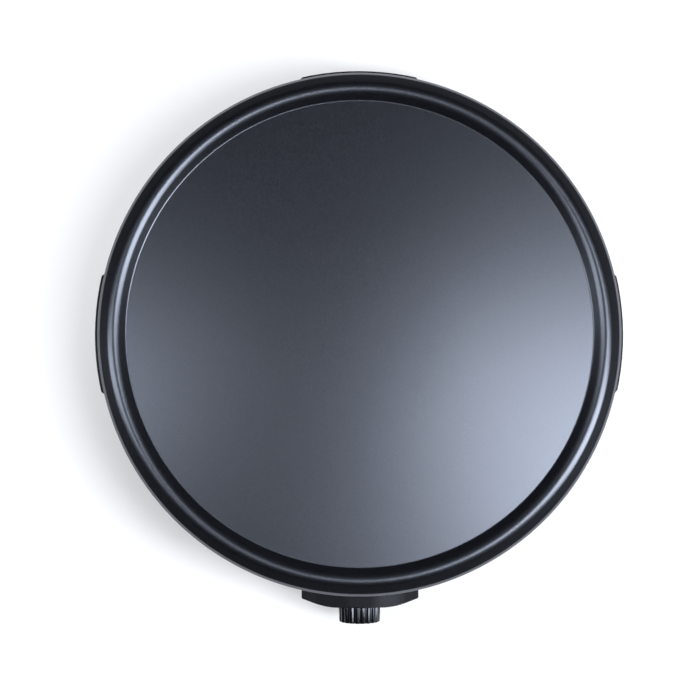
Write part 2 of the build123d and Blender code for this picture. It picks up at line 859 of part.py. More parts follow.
def make_contact_blades():
    """Two spring blades on the body: the one that the nut lets go, and the fixed one above it."""
    root_y = body_front_y
    tip_y = nut_back_y + blade_gap
    z_low = knob_height + thread_radius + 1.2
    half = blade_width / 2
    thickness = blade_thickness
    moving = block(-half, half, tip_y, root_y, z_low, z_low + thickness)
    moving += block(-half, half, tip_y, tip_y + thickness, z_low, z_low + 3 * thickness)
    fixed_z = knob_height + bracket_height / 2 - 2 * thickness
    fixed = block(-half, half, tip_y + 2, root_y, fixed_z, fixed_z + thickness)
    return moving, fixed


def make_contacts():
    """The silver contact buttons, one on each blade."""
    moving, fixed = make_contact_blades()
    y = (moving.bounding_box().min.Y + body_front_y) / 2 + 1
    lower_z = knob_height + thread_radius + 1.2 + blade_thickness
    upper_z = knob_height + bracket_height / 2 - 2 * blade_thickness - contact_thickness
    lower = peg(contact_radius, contact_thickness, 0, y, lower_z)
    upper = peg(contact_radius, contact_thickness, 0, y, upper_z)
    return [lower, upper]


def make_expansion_capsule():
    """The thin round capsule that the capillary's liquid swells."""
    return rod(capsule_radius, capsule_front_y, capsule_back_y, z=knob_height)


def tube_along(points, bends, radius):
    """A tube along straight runs joined by tangent arcs."""
    path = FilletPolyline(*points, radius=bends)
    section = Plane(origin=path @ 0, z_dir=path % 0) * RegularPolygon(radius, tube_sides)
    return sweep(section, path=path)


def make_capillary_tube():
    """The thin tube from the capsule up through the heat shield to the bulb."""
    bulb_z = plate_under_z - seat_gap - bulb_diameter / 2
    return tube_along(
        [
            (0, capsule_back_y + seat_gap, knob_height),
            (0, capillary_riser_y, knob_height),
            (0, capillary_riser_y, bulb_z),
            (0, bulb_front_y, bulb_z),
        ],
        capillary_bend,
        capillary_diameter / 2,
    )


def make_sensing_bulb():
    """The bulb that lies against the plate's underside."""
    bulb_z = plate_under_z - seat_gap - bulb_diameter / 2
    return rod(bulb_diameter / 2, bulb_front_y, bulb_front_y + bulb_length, z=bulb_z)


def saddle(pipe_radius, width):
    """A strap over a pipe that lies along Y under z = 0, with one screw ear on the +X side."""
    inner = pipe_radius + seat_gap
    outer = inner + clip_thickness
    drop = pipe_radius + seat_gap
    half = width / 2
    strap = Pos(0, 0, -drop) * Rot(90, 0, 0) * Cylinder(outer, width)
    strap += block(-outer, outer, -half, half, -drop, 0)
    strap += block(outer - clip_thickness, outer + clip_ear, -half, half, -clip_thickness, 0)
    strap -= Pos(0, 0, -drop) * Rot(90, 0, 0) * Cylinder(inner, width + 2)
    strap -= block(-inner, inner, -half - 1, half + 1, -drop, 1)
    return strap


def clip_screw():
    """A short screw, head down, whose bearing face lies at z = 0."""
    shank = peg(clip_screw_diameter / 2, clip_thickness + clip_screw_grip - 1)
    return shank + hexagon(clip_screw_head_diameter, clip_screw_head_height, -clip_screw_head_height)


def clip_hole(x, y):
    """The hole for a clip's screw, through the strap's ear."""
    low = plate_under_z - clip_thickness - 1
    return peg(clip_screw_diameter / 2 + screw_clearance, clip_thickness + 2, x, y, low)


def make_bulb_clip():
    """The strap that presses the bulb to the plate."""
    middle = bulb_front_y + bulb_length / 2
    strap = Pos(0, middle, plate_under_z) * saddle(bulb_diameter / 2, clip_width)
    x, y = clip_screw_places()[0]
    return strap - clip_hole(x, y)


def make_fuse_clip():
    """The strap that presses the thermal fuse to the plate."""
    strap = Pos(0, fuse_y, plate_under_z) * Rot(0, 0, 90) * saddle(fuse_diameter / 2, clip_width)
    x, y = clip_screw_places()[1]
    return strap - clip_hole(x, y)


def make_clip_screws():
    """The two screws of the clips under the plate."""
    bearing_z = plate_under_z - clip_thickness
    return [Pos(x, y, bearing_z) * clip_screw() for x, y in clip_screw_places()]


def make_thermal_fuse():
    """The one-shot fuse in its sleeve, with a cap at each end."""
    z = plate_under_z - seat_gap - fuse_diameter / 2
    body = disk(fuse_diameter / 2, fuse_length, z=-fuse_length / 2)
    whole = fuse_length + 2 * fuse_cap_length
    body += peg(fuse_cap_diameter / 2, whole, z=-whole / 2)
    return Pos(0, fuse_y, z) * Rot(0, 90, 0) * body


def lens_seat_y():
    """Where the bent panel's flange ends behind the outer side of a lamp lens."""
    slope = housing_corner_depth / (housing_width / 2 - housing_front_corner)
    outer_side = lamp_spacing / 2 + lens_flange_radius
    inset = (housing_reach + flange_back_y) / cos(atan(slope))
    return (outer_side - housing_front_corner) * slope + inset - housing_reach


def make_lamp_lens(side):
    """One indicator lens: a round rod through the panel, with a flange that follows the panel's back."""
    x = side * lamp_spacing / 2
    end = lens_seat_y() + lens_flange
    flange = rod(lens_flange_radius, panel_front_y, end, x, knob_height)
    behind_panel = slab(housing_plan(housing_reach + flange_back_y + seat_gap), 0, brow_z)
    return rod(lens_radius, panel_front_y + lens_sink, end, x, knob_height) + (flange & behind_panel)


def make_neon_lamps():
    """The two small glow lamps behind the lenses."""
    start = lens_seat_y() + lens_flange + lamp_gap
    lamps = []
    for side in (-1, 1):
        lamps.append(pin(lamp_radius, start, start + lamp_length, side * lamp_spacing / 2, knob_height))
    return lamps


def make_terminal_block():
    """The three-way terminal block behind the cord inlet."""
    half = block_width / 2
    y_low = block_y - block_depth / 2
    y_high = block_y + block_depth / 2
    body = block(-half, half, y_low, y_high, ledge_top_z, ledge_top_z + block_height)
    flange_top = ledge_top_z + block_flange_thickness
    body += block(-half - block_flange, half, y_low + 3, y_high - 3, ledge_top_z, flange_top)
    pitch = block_width / block_ways
    centre_z = ledge_top_z + block_height / 2
    for i in range(block_ways):
        x = (i - (block_ways - 1) / 2) * pitch
        port = block_bore_radius
        body -= block(x - port, x + port, y_low - 1, y_high + 1, centre_z - port, centre_z + port)
        body -= peg(block_screw_radius + thread_clearance, block_height, x, block_y, centre_z)
    fix = block_fix_diameter / 2 + screw_clearance
    body -= peg(fix, block_height, block_screw_x, block_y, ledge_top_z - 1)
    return body


def make_terminal_screws():
    """The three wire screws in the terminal block."""
    pitch = block_width / block_ways
    top = ledge_top_z + block_height - 0.5
    screws = []
    for i in range(block_ways):
        x = (i - (block_ways - 1) / 2) * pitch
        screws.append(peg(block_screw_radius, block_screw_length, x, block_y, top - block_screw_length))
    return screws


def make_block_screws():
    """The screw of the terminal block's flange and the screw of the earth tag."""
    screws = []
    for x, under_head in ((block_screw_x, block_flange_thickness), (earth_stud_x, earth_tag_thickness)):
        bearing = ledge_top_z + under_head
        shank = peg(block_fix_diameter / 2, bearing - ledge_z, x, block_y, ledge_z)
        head = Pos(x, block_y, 0) * hexagon(2 * block_fix_diameter, block_fix_diameter * 0.7, bearing)
        screws.append(shank + head)
    return screws


def make_earth_tag():
    """The ring tag of the protective conductor."""
    tag = disk(earth_tag_width / 2, earth_tag_thickness, earth_stud_x, block_y, ledge_top_z)
    tag += block(
        earth_stud_x - earth_tag_width / 4,
        earth_stud_x + earth_tag_width / 4,
        block_y - earth_tag_length,
        block_y,
        ledge_top_z,
        ledge_top_z + earth_tag_thickness,
    )
    hole = block_fix_diameter / 2 + screw_clearance
    return tag - peg(hole, 3, earth_stud_x, block_y, ledge_top_z - 1)


def make_cord_bush():
    """The bush that leads the supply cord through the back wall."""
    inner = inlet_boss_inner - bush_nut_length - 1
    outer = inlet_boss_reach + bush_flange
    bush = rod(bush_body_radius, inner, inlet_boss_reach, z=inlet_height)
    bush += rod(bush_flange_radius, inlet_boss_reach, outer, z=inlet_height)
    return bush - rod(bush_bore_radius, inner - 1, outer + 1, z=inlet_height)


def make_bush_nut():
    """The hexagon nut behind the cord bush."""
    nut = Pos(0, inlet_boss_inner, inlet_height) * Rot(90, 0, 0) * hexagon(bush_nut_width, bush_nut_length)
    front = inlet_boss_inner - bush_nut_length
    return nut - rod(bush_body_radius + thread_clearance, front - 1, inlet_boss_inner + 1, z=inlet_height)


def solids_of(shape):
    """Every solid in a shape or a list of shapes."""
    if isinstance(shape, (list, tuple)):
        return [solid for item in shape for solid in solids_of(item)]
    return list(shape.solids())


def save(name, shape):
    """Moves a piece so that the origin lies under the footprint's centre and writes it."""
    moved = [Pos(0, axis_offset_y, 0) * solid for solid in solids_of(shape)]
    for solid in moved:
        solid.label = name
    whole = moved[0] if len(moved) == 1 else Compound(children=moved, label=name)
    export_step(whole, os.path.join("parts", name + ".step"))
    print(name, len(moved))


os.makedirs("parts", exist_ok=True)
moving_blade, fixed_blade = make_contact_blades()
pieces = {
    "cooking_plate": make_cooking_plate,
    "heating_element": make_heating_element,
    "element_pins": make_element_pins,
    "element_collars": make_element_collars,
    "heat_shield": make_heat_shield,
    "plate_spacers": make_plate_spacers,
    "plate_screws": make_plate_screws,
    "base_shell": make_base_shell,
    "bottom_cover": make_bottom_cover,
    "cover_screws": make_cover_screws,
    "rubber_feet": make_rubber_feet,
    "control_panel": make_control_panel,
    "panel_screws": make_panel_screws,
    "knob": make_knob,
    "knob_spring": make_knob_spring,
    "thermostat_shaft": make_thermostat_shaft,
    "shaft_circlip": make_shaft_circlip,
    "thermostat_bracket": make_thermostat_bracket,
    "thermostat_body": make_thermostat_body,
    "adjusting_nut": make_adjusting_nut,
    "moving_blade": lambda: moving_blade,
    "fixed_blade": lambda: fixed_blade,
    "contacts": make_contacts,
    "expansion_capsule": make_expansion_capsule,
    "capillary_tube": make_capillary_tube,
    "sensing_bulb": make_sensing_bulb,
    "bulb_clip": make_bulb_clip,
    "fuse_clip": make_fuse_clip,
    "clip_screws": make_clip_screws,
    "thermal_fuse": make_thermal_fuse,
    "power_lamp_lens": lambda: make_lamp_lens(-1),
    "ready_lamp_lens": lambda: make_lamp_lens(1),
    "neon_lamps": make_neon_lamps,
    "terminal_block": make_terminal_block,
    "terminal_screws": make_terminal_screws,
    "block_screws": make_block_screws,
    "earth_tag": make_earth_tag,
    "cord_bush": make_cord_bush,
    "bush_nut": make_bush_nut,
}
for piece_name, make in pieces.items():
    save(piece_name, make())
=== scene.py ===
# %% [markdown]
# # An electric crepe maker
#
# The real thing is a heavy round plate of cast aluminium with a dark non-stick coating. It sits on
# a low moulded base, and one fluted knob in front sets its thermostat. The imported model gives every
# rigid piece in metres, with the table at z = 0 and the knob towards -Y. This lesson dresses that
# model: it makes the pieces whose roundness catches the light, gives every piece a finish, and
# lights the whole as in a plain studio.

# %% Load the frame
from math import cos, pi, radians, sin, tan

import bmesh
import bpy
from mathutils import Matrix, Vector


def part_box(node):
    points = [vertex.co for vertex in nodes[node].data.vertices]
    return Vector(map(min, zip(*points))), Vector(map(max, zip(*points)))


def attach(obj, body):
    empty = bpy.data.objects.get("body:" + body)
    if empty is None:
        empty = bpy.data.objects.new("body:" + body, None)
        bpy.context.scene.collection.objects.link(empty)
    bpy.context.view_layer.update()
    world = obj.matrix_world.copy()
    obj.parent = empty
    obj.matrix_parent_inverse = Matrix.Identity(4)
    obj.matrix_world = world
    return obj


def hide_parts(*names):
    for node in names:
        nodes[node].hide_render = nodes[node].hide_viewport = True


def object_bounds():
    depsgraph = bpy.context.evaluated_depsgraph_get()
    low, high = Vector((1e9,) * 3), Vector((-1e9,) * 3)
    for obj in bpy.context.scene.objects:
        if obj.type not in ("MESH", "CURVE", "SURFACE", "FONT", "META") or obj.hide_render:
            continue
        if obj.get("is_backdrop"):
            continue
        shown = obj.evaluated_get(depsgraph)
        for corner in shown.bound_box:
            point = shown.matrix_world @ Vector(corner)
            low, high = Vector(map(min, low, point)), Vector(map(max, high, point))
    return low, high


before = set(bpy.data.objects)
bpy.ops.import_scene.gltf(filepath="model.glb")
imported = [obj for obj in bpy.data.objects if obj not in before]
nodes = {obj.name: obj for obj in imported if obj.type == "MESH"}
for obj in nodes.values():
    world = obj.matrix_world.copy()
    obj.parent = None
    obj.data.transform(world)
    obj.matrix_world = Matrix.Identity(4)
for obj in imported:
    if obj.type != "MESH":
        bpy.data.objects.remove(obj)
cad_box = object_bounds()
mm = 0.001

# %% [markdown]
# ## Where things stand
#
# The plate is turned about one upright axis, so its box gives that axis, its radius and its
# heights. Sizes that no box can give, such as the flat disc's radius, are named here once.

# %% Places read from the model
plate_low, plate_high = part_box("cooking_plate")
knob_low, knob_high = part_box("knob")
panel_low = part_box("control_panel")[0]
shell_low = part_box("base_shell")[0]

axis_y = (plate_low.y + plate_high.y) / 2
plate_radius = (plate_high.x - plate_low.x) / 2
crown_z = plate_high.z
knob_axis_z = (knob_low.z + knob_high.z) / 2
print("plate radius", round(plate_radius / mm, 1), "mm, axis at y", round(axis_y / mm, 1), "mm")

# %% [markdown]
# ## Small helpers for node trees
#
# Every node tree below is written with one helper. It adds a node, sets its options, and fills its
# inputs: a socket is linked, and anything else is set as a plain value. The others stand on it, for
# sums, for stretched ranges, and for the start and the end of a group.


# %% Node helpers
def add(tree, kind, inputs=None, **options):
    """Adds a node, sets its options, and links or sets its inputs."""
    node = tree.nodes.new(kind)
    for name, value in options.items():
        setattr(node, name, value)
    for key, value in (inputs or {}).items():
        if isinstance(value, bpy.types.NodeSocket):
            tree.links.new(value, node.inputs[key])
        else:
            node.inputs[key].default_value = value
    return node


def calc(tree, operation, *values):
    """The result of one Math node."""
    return add(tree, "ShaderNodeMath", dict(enumerate(values)), operation=operation).outputs[0]


def stretch(tree, value, start, end, low=0.0, high=1.0, **options):
    """A value whose range from start to end is stretched to run from low to high."""
    return add(tree, "ShaderNodeMapRange", {
        "Value": value, "From Min": start, "From Max": end, "To Min": low, "To Max": high,
    }, **options).outputs[0]


def new_group(name, kind, inputs, outputs):
    """A node group with named inputs and outputs. Gives its tree and what comes in."""
    tree = bpy.data.node_groups.new(name, kind)
    for direction, rows in (("INPUT", inputs), ("OUTPUT", outputs)):
        for label, socket, *start in rows:
            socket_type = "NodeSocket" + socket
            made = tree.interface.new_socket(label, in_out=direction, socket_type=socket_type)
            if start:
                made.default_value = start[0]
    return tree, add(tree, "NodeGroupInput").outputs


def hand_out(tree, mesh, material):
    """Makes copies real, gives the mesh its material, and hands it out of the tree."""
    real = add(tree, "GeometryNodeRealizeInstances", {"Geometry": mesh}).outputs[0]
    coated = add(tree, "GeometryNodeSetMaterial", {"Geometry": real, "Material": material})
    add(tree, "NodeGroupOutput", {"Geometry": coated.outputs[0]})


print("node helpers ready")

# %% [markdown]
# ## A tree that turns a line into a solid
#
# The plate, the knob and the feet are all turned shapes. A lathe can be written point by point in
# code, or swept as a curve, but a Geometry Nodes tree keeps the rule in sight. A flat grid is
# wrapped round: its first direction becomes the angle, and its second picks a point of the outline.
# The same tree can press ribs into the side, which is what makes a knob of it.


# %% The turning tree
def make_turning_tree():
    """A grid wrapped round the Z axis along an outline, with optional ribs."""
    tree, given = new_group("Turned piece", "GeometryNodeTree", [
        ("Outline", "Geometry"),
        ("Steps round", "Int", 96),
        ("Ribs", "Int", 0),
        ("Rib depth", "Float", 0.0),
        ("Rib share", "Float", 0.4),
        ("Plain radius", "Float", 0.0),
        ("Fade", "Float", 0.001),
        ("Material", "Material"),
    ], [("Geometry", "Geometry")])
    size = add(tree, "GeometryNodeAttributeDomainSize", {0: given["Outline"]}).outputs
    count = size["Point Count"]
    grid = add(tree, "GeometryNodeMeshGrid", {
        "Size X": 1.0,
        "Size Y": 1.0,
        "Vertices X": calc(tree, "ADD", given["Steps round"], 1.0),
        "Vertices Y": count,
    })
    place = add(tree, "GeometryNodeInputPosition").outputs[0]
    flat = add(tree, "ShaderNodeSeparateXYZ", {0: place}).outputs
    angle = calc(tree, "MULTIPLY", calc(tree, "ADD", flat["X"], 0.5), 2 * pi)
    row = calc(tree, "ROUND", calc(tree, "MULTIPLY", calc(tree, "ADD", flat["Y"], 0.5),
                                   calc(tree, "SUBTRACT", count, 1.0)))
    sample = add(tree, "GeometryNodeSampleIndex", data_type="FLOAT_VECTOR", domain="POINT")
    tree.links.new(given["Outline"], sample.inputs["Geometry"])
    tree.links.new(place, sample.inputs["Value"])
    tree.links.new(row, sample.inputs["Index"])
    outline = add(tree, "ShaderNodeSeparateXYZ", {0: sample.outputs[0]}).outputs
    phase = calc(tree, "MULTIPLY", angle, calc(tree, "DIVIDE", given["Ribs"], 2 * pi))
    sway = calc(tree, "FRACT", calc(tree, "ADD", phase, 0.5))
    off_crest = calc(tree, "ABSOLUTE", calc(tree, "MULTIPLY_ADD", sway, 2.0, -1.0))
    valley = stretch(tree, off_crest, given["Rib share"], 1.0, interpolation_type="SMOOTHSTEP")
    faded = calc(tree, "ADD", given["Plain radius"], given["Fade"])
    outside = stretch(tree, outline["X"], given["Plain radius"], faded)
    cut = calc(tree, "MULTIPLY", calc(tree, "MULTIPLY", valley, outside), given["Rib depth"])
    radius = calc(tree, "SUBTRACT", outline["X"], cut)
    wrapped = add(tree, "ShaderNodeCombineXYZ", {
        "X": calc(tree, "MULTIPLY", radius, calc(tree, "COSINE", angle)),
        "Y": calc(tree, "MULTIPLY", radius, calc(tree, "SINE", angle)),
        "Z": outline["Z"],
    }).outputs[0]
    moved = add(tree, "GeometryNodeSetPosition", {
        "Geometry": grid.outputs["Mesh"],
        "Position": wrapped,
    }).outputs[0]
    merged = add(tree, "GeometryNodeMergeByDistance", {"Geometry": moved, "Distance": 1e-6})
    hand_out(tree, merged.outputs[0], given["Material"])
    return tree


turning_tree = make_turning_tree()
print("turning tree with", len(turning_tree.nodes), "nodes")

# %% [markdown]
# ## From a tree to a finished piece
#
# A modifier's inputs are set by their identifiers before the object is first evaluated. The
# evaluated result becomes a plain mesh, whose doubles are merged and whose faces are turned
# outwards. Edges sharper than a given angle stay crisp. Last, the mesh is moved to its place, so
# that the object itself stays at the origin.


# %% Baking helpers
def closed_mesh(mesh, crisp=35.0):
    """Merges doubles, turns faces outwards and smooths all but the crisp edges."""
    shape = bmesh.new()
    shape.from_mesh(mesh)
    bmesh.ops.remove_doubles(shape, verts=shape.verts, dist=1e-6)
    bmesh.ops.dissolve_degenerate(shape, edges=shape.edges, dist=1e-7)
    bmesh.ops.recalc_face_normals(shape, faces=shape.faces)
    shape.to_mesh(mesh)
    shape.free()
    mesh.shade_smooth()
    mesh.set_sharp_from_angle(angle=radians(crisp))
    return mesh


def new_object(name, data):
    """A new object in the scene, at the origin."""
    thing = bpy.data.objects.new(name, data)
    bpy.context.scene.collection.objects.link(thing)
    return thing


def baked(name, start_mesh, tree, values, crisp=35.0):
    """The plain mesh that a Geometry Nodes tree makes from a start mesh."""
    source = new_object(name + "_source", start_mesh)
    modifier = source.modifiers.new("Shape", "NODES")
    modifier.node_group = tree
    for socket in tree.interface.items_tree:
        if socket.in_out == "INPUT" and socket.name in values:
            modifier[socket.identifier] = values[socket.name]
    evaluated = source.evaluated_get(bpy.context.evaluated_depsgraph_get())
    mesh = bpy.data.meshes.new_from_object(evaluated)
    mesh.name = name
    bpy.data.objects.remove(source)
    return closed_mesh(mesh, crisp)


def line_mesh(name, points):
    """A line of radius and height, as the start mesh of the turning tree."""
    mesh = bpy.data.meshes.new(name)
    links = [(i, i + 1) for i in range(len(points) - 1)]
    mesh.from_pydata([(r, 0.0, z) for r, z in points], links, [])
    return mesh


def piece(name, mesh, body, replaced=(), place=None):
    """A finished piece: its mesh is moved to its place and it rides on a body."""
    if place is not None:
        mesh.transform(place)
    thing = new_object(name, mesh)
    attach(thing, body)
    if replaced:
        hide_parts(*replaced)
    print(name, "faces", len(mesh.polygons))


# %% [markdown]
# ## Surface effects that several finishes share
#
# Cast, moulded and drawn surfaces differ in colour, but they share a few effects: a fine grain, a
# slow unevenness and lines left by drawing or brushing. Each is a node group with named inputs. The
# groups give only values, and the shader itself stays in each material.


# %% Fine grain and slow unevenness
def make_grain_group():
    """Two sizes of noise: a fine height and speckle, and a slow cloud."""
    tree, given = new_group("Grain", "ShaderNodeTree", [
        ("Vector", "Vector"),
        ("Grains per metre", "Float", 2000.0),
        ("Clouds per metre", "Float", 20.0),
        ("Contrast", "Float", 0.5),
    ], [("Height", "Float"), ("Speckle", "Float"), ("Cloud", "Float")])
    place, grains = given["Vector"], given["Grains per metre"]
    fine = add(tree, "ShaderNodeTexNoise", {
        "Vector": place, "Scale": grains, "Detail": 2.0, "Roughness": 0.6,
    }).outputs[0]
    cells = add(tree, "ShaderNodeTexVoronoi", {
        "Vector": place, "Scale": calc(tree, "MULTIPLY", grains, 0.7),
    }).outputs["Distance"]
    slow = add(tree, "ShaderNodeTexNoise", {
        "Vector": place, "Scale": given["Clouds per metre"], "Detail": 3.0, "Roughness": 0.5,
    }).outputs[0]
    pits = calc(tree, "MULTIPLY", cells, 0.4)
    height = calc(tree, "ADD", calc(tree, "MULTIPLY", fine, 0.6), pits)
    spread = calc(tree, "MULTIPLY", given["Contrast"], 0.5)
    speckle = stretch(tree, fine, spread, calc(tree, "SUBTRACT", 1.0, spread))
    cloud = stretch(tree, slow, 0.3, 0.7)
    add(tree, "NodeGroupOutput", {"Height": height, "Speckle": speckle, "Cloud": cloud})
    return tree


grain_group = make_grain_group()
print("grain group ready")

# %% [markdown]
# Wire, tube and sheet are drawn or rolled, which leaves fine lines along them. Painted strokes
# could show them, but a noise that is squeezed along one direction has no end and no seam.


# %% Drawn lines
def make_lines_group():
    """Noise stretched along one direction, as drawing or brushing leaves on metal."""
    tree, given = new_group("Drawn lines", "ShaderNodeTree", [
        ("Vector", "Vector"),
        ("Lines per metre", "Float", 3000.0),
        ("Along", "Vector", (0.03, 1.0, 1.0)),
    ], [("Height", "Float"), ("Lines", "Float")])
    squeezed = add(tree, "ShaderNodeVectorMath", {
        0: given["Vector"],
        1: given["Along"],
    }, operation="MULTIPLY").outputs[0]
    noise = add(tree, "ShaderNodeTexNoise", {
        "Vector": squeezed, "Scale": given["Lines per metre"], "Detail": 3.0, "Roughness": 0.65,
    }).outputs[0]
    lines = stretch(tree, noise, 0.35, 0.65)
    add(tree, "NodeGroupOutput", {"Height": noise, "Lines": lines})
    return tree


lines_group = make_lines_group()
print("lines group ready")

# %% [markdown]
# ## Finishes
#
# A finish starts from a Principled shader with a group feeding it. What is the same all over stands
# on the shader's own sockets. What changes over the surface, such as speckle, roughness and the
# bump, comes from the group. The Mix node keeps its colour sockets under numbers, so they get names
# here.


# %% Building a finish
colour_a, colour_b, colour_out = 6, 7, 2


def start_finish(name, group, group_inputs, metallic=0.0, **shader_inputs):
    """A new material, its tree, its shader and the effect group on Object coordinates."""
    material = bpy.data.materials.new(name)
    material.use_nodes = True
    tree = material.node_tree
    shader = tree.nodes["Principled BSDF"]
    shader.inputs["Metallic"].default_value = metallic
    for key, value in shader_inputs.items():
        shader.inputs[key.replace("_", " ")].default_value = value
    place = add(tree, "ShaderNodeTexCoord").outputs["Object"]
    effect = add(tree, "ShaderNodeGroup", node_tree=group)
    tree.links.new(place, effect.inputs["Vector"])
    for key, value in group_inputs.items():
        effect.inputs[key].default_value = value
    return material, tree, shader, effect


def blend_colours(tree, mask, first, second):
    """Two colours, plain or from other nodes, mixed by a mask that changes over the surface."""
    mix = add(tree, "ShaderNodeMix", {"Factor": mask}, data_type="RGBA")
    for key, colour in ((colour_a, first), (colour_b, second)):
        if isinstance(colour, bpy.types.NodeSocket):
            tree.links.new(colour, mix.inputs[key])
        else:
            mix.inputs[key].default_value = (*colour, 1.0)
    return mix.outputs[colour_out]


def spread_between(tree, mask, low, high):
    """A value that follows a mask between two limits."""
    return stretch(tree, mask, 0.0, 1.0, low, high)


def give_bump(tree, shader, height, strength, depth, edge=0.0):
    """A bump on the shader, over edges that are rounded by a small radius."""
    bump = add(tree, "ShaderNodeBump", {"Strength": strength, "Distance": depth, "Height": height})
    if edge:
        rounded = add(tree, "ShaderNodeBevel", {"Radius": edge}, samples=4)
        tree.links.new(rounded.outputs[0], bump.inputs["Normal"])
    tree.links.new(bump.outputs[0], shader.inputs["Normal"])


print("finish helpers ready")

# %% [markdown]
# The coating is a dark film with fine flakes in it. It is sprayed on and baked, and it comes out
# semi-gloss: a lamp's reflection spreads into a wide soft glow with a cool tone. Nearly all of its
# light is such a glow, so the film's own colour is almost black, and a fine speckle varies its
# roughness a little. Under the plate, the casting is left bare, and a mask that follows the
# surface's direction changes the film to bare metal there.


# %% The plate's coating
def make_coating():
    """Dark flaked film above, bare cast metal below."""
    values = {"Grains per metre": 1400.0, "Clouds per metre": 9.0, "Contrast": 0.76}
    material, tree, shader, effect = start_finish("plate_coating", grain_group, values)
    speckle = effect.outputs["Speckle"]
    film = blend_colours(tree, speckle, (0.0, 0.0, 0.0004), (0.0075, 0.0081, 0.0105))
    facing = add(tree, "ShaderNodeNewGeometry").outputs["Normal"]
    upward = add(tree, "ShaderNodeSeparateXYZ", {0: facing}).outputs["Z"]
    bare_from, bare_fully = -0.4, -0.7
    bare_metal = (0.42, 0.43, 0.44)
    below = stretch(tree, upward, bare_from, bare_fully)
    tree.links.new(blend_colours(tree, below, film, bare_metal), shader.inputs["Base Color"])
    tree.links.new(spread_between(tree, below, 0.0, 0.95), shader.inputs["Metallic"])
    tree.links.new(spread_between(tree, speckle, 0.275, 0.308), shader.inputs["Roughness"])
    shader.inputs["Specular IOR Level"].default_value = 1.0
    shader.inputs["Specular Tint"].default_value = (0.74, 0.82, 1.0, 1.0)
    give_bump(tree, shader, effect.outputs["Height"], strength=0.1, depth=0.05 * mm)
    return material


coating = make_coating()
print("coating ready")

# %% [markdown]
# The base, the panel and the knob are black plastics with three different surfaces: spark-textured,
# satin and semi-gloss. Their reflections have a cool tint. Rubber, ceramic and printing ink are
# made with the same helper and other values.


# %% Plastics, rubber, ceramic and ink
def moulded(name, dark, light, rough, grains, depth, edge=0.0, **shader_inputs):
    """A moulded plastic, rubber or ceramic: a grained surface in two near tones."""
    values = {"Grains per metre": grains, "Clouds per metre": 14.0, "Contrast": 0.4}
    material, tree, shader, effect = start_finish(name, grain_group, values, **shader_inputs)
    cloud = effect.outputs["Cloud"]
    fine = calc(tree, "MULTIPLY", effect.outputs["Speckle"], 0.6)
    tone = calc(tree, "ADD", fine, calc(tree, "MULTIPLY", cloud, 0.4))
    tree.links.new(blend_colours(tree, tone, dark, light), shader.inputs["Base Color"])
    tree.links.new(spread_between(tree, cloud, *rough), shader.inputs["Roughness"])
    give_bump(tree, shader, effect.outputs["Height"], strength=0.35, depth=depth, edge=edge)
    return material


cool = (0.78, 0.85, 1.0, 1.0)
shell_plastic = moulded(
    "shell_plastic", dark=(0.003, 0.003, 0.0036), light=(0.006, 0.006, 0.0072), rough=(0.36, 0.44),
    grains=2600.0, depth=0.06 * mm, edge=0.7 * mm, Specular_IOR_Level=0.17, Specular_Tint=cool)
panel_plastic = moulded(
    "panel_plastic", dark=(0.004, 0.004, 0.0046), light=(0.008, 0.008, 0.0092), rough=(0.32, 0.4),
    grains=3200.0, depth=0.04 * mm, edge=0.3 * mm, Specular_IOR_Level=0.35, Specular_Tint=cool)
knob_plastic = moulded(
    "knob_plastic", dark=(0.002, 0.002, 0.0025), light=(0.004, 0.004, 0.005), rough=(0.14, 0.2),
    grains=3600.0, depth=0.02 * mm, Specular_Tint=cool)
rubber = moulded(
    "rubber", dark=(0.014, 0.014, 0.014), light=(0.03, 0.03, 0.03), rough=(0.7, 0.85),
    grains=1500.0, depth=0.1 * mm, edge=0.6 * mm)
ceramic = moulded(
    "ceramic", dark=(0.62, 0.59, 0.52), light=(0.76, 0.73, 0.66), rough=(0.55, 0.7),
    grains=1800.0, depth=0.06 * mm)
ink = moulded(
    "dial_ink", dark=(0.72, 0.72, 0.71), light=(0.82, 0.82, 0.81), rough=(0.45, 0.55),
    grains=4000.0, depth=0.01 * mm)
fuse_sleeve = moulded(
    "fuse_body", dark=(0.52, 0.48, 0.36), light=(0.68, 0.63, 0.5), rough=(0.5, 0.65),
    grains=2200.0, depth=0.08 * mm)
block_plastic = moulded(
    "terminal_plastic", dark=(0.62, 0.6, 0.54), light=(0.72, 0.7, 0.64), rough=(0.4, 0.5),
    grains=2000.0, depth=0.03 * mm)
print("plastics ready")

# %% [markdown]
# Bare metals show the lines of the tool that made them: wire and tube are drawn lengthwise, sheet
# is rolled.


# %% Metals
def drawn(name, dark, light, rough, along=(0.03, 1.0, 1.0)):
    """A bare metal with drawn lines. Along is small in the direction that the lines run."""
    values = {"Lines per metre": 2500.0, "Along": along}
    material, tree, shader, effect = start_finish(name, lines_group, values, metallic=1.0)
    lines = effect.outputs["Lines"]
    tree.links.new(blend_colours(tree, lines, dark, light), shader.inputs["Base Color"])
    tree.links.new(spread_between(tree, lines, *rough), shader.inputs["Roughness"])
    give_bump(tree, shader, effect.outputs["Height"], strength=0.2, depth=0.05 * mm)
    return material


plated_steel = drawn("plated_steel", (0.42, 0.43, 0.45), (0.62, 0.63, 0.65), (0.28, 0.42))
sheath_steel = drawn("element_sheath", (0.16, 0.15, 0.14), (0.27, 0.25, 0.23), (0.4, 0.55),
                     along=(1.0, 1.0, 0.05))
brass = drawn("brass", (0.58, 0.42, 0.17), (0.72, 0.55, 0.26), (0.25, 0.38))
copper = drawn("copper", (0.55, 0.28, 0.17), (0.72, 0.40, 0.26), (0.28, 0.42),
               along=(1.0, 0.04, 1.0))
silver = drawn("contact_silver", (0.72, 0.72, 0.70), (0.84, 0.84, 0.82), (0.15, 0.28))
print("metals ready")

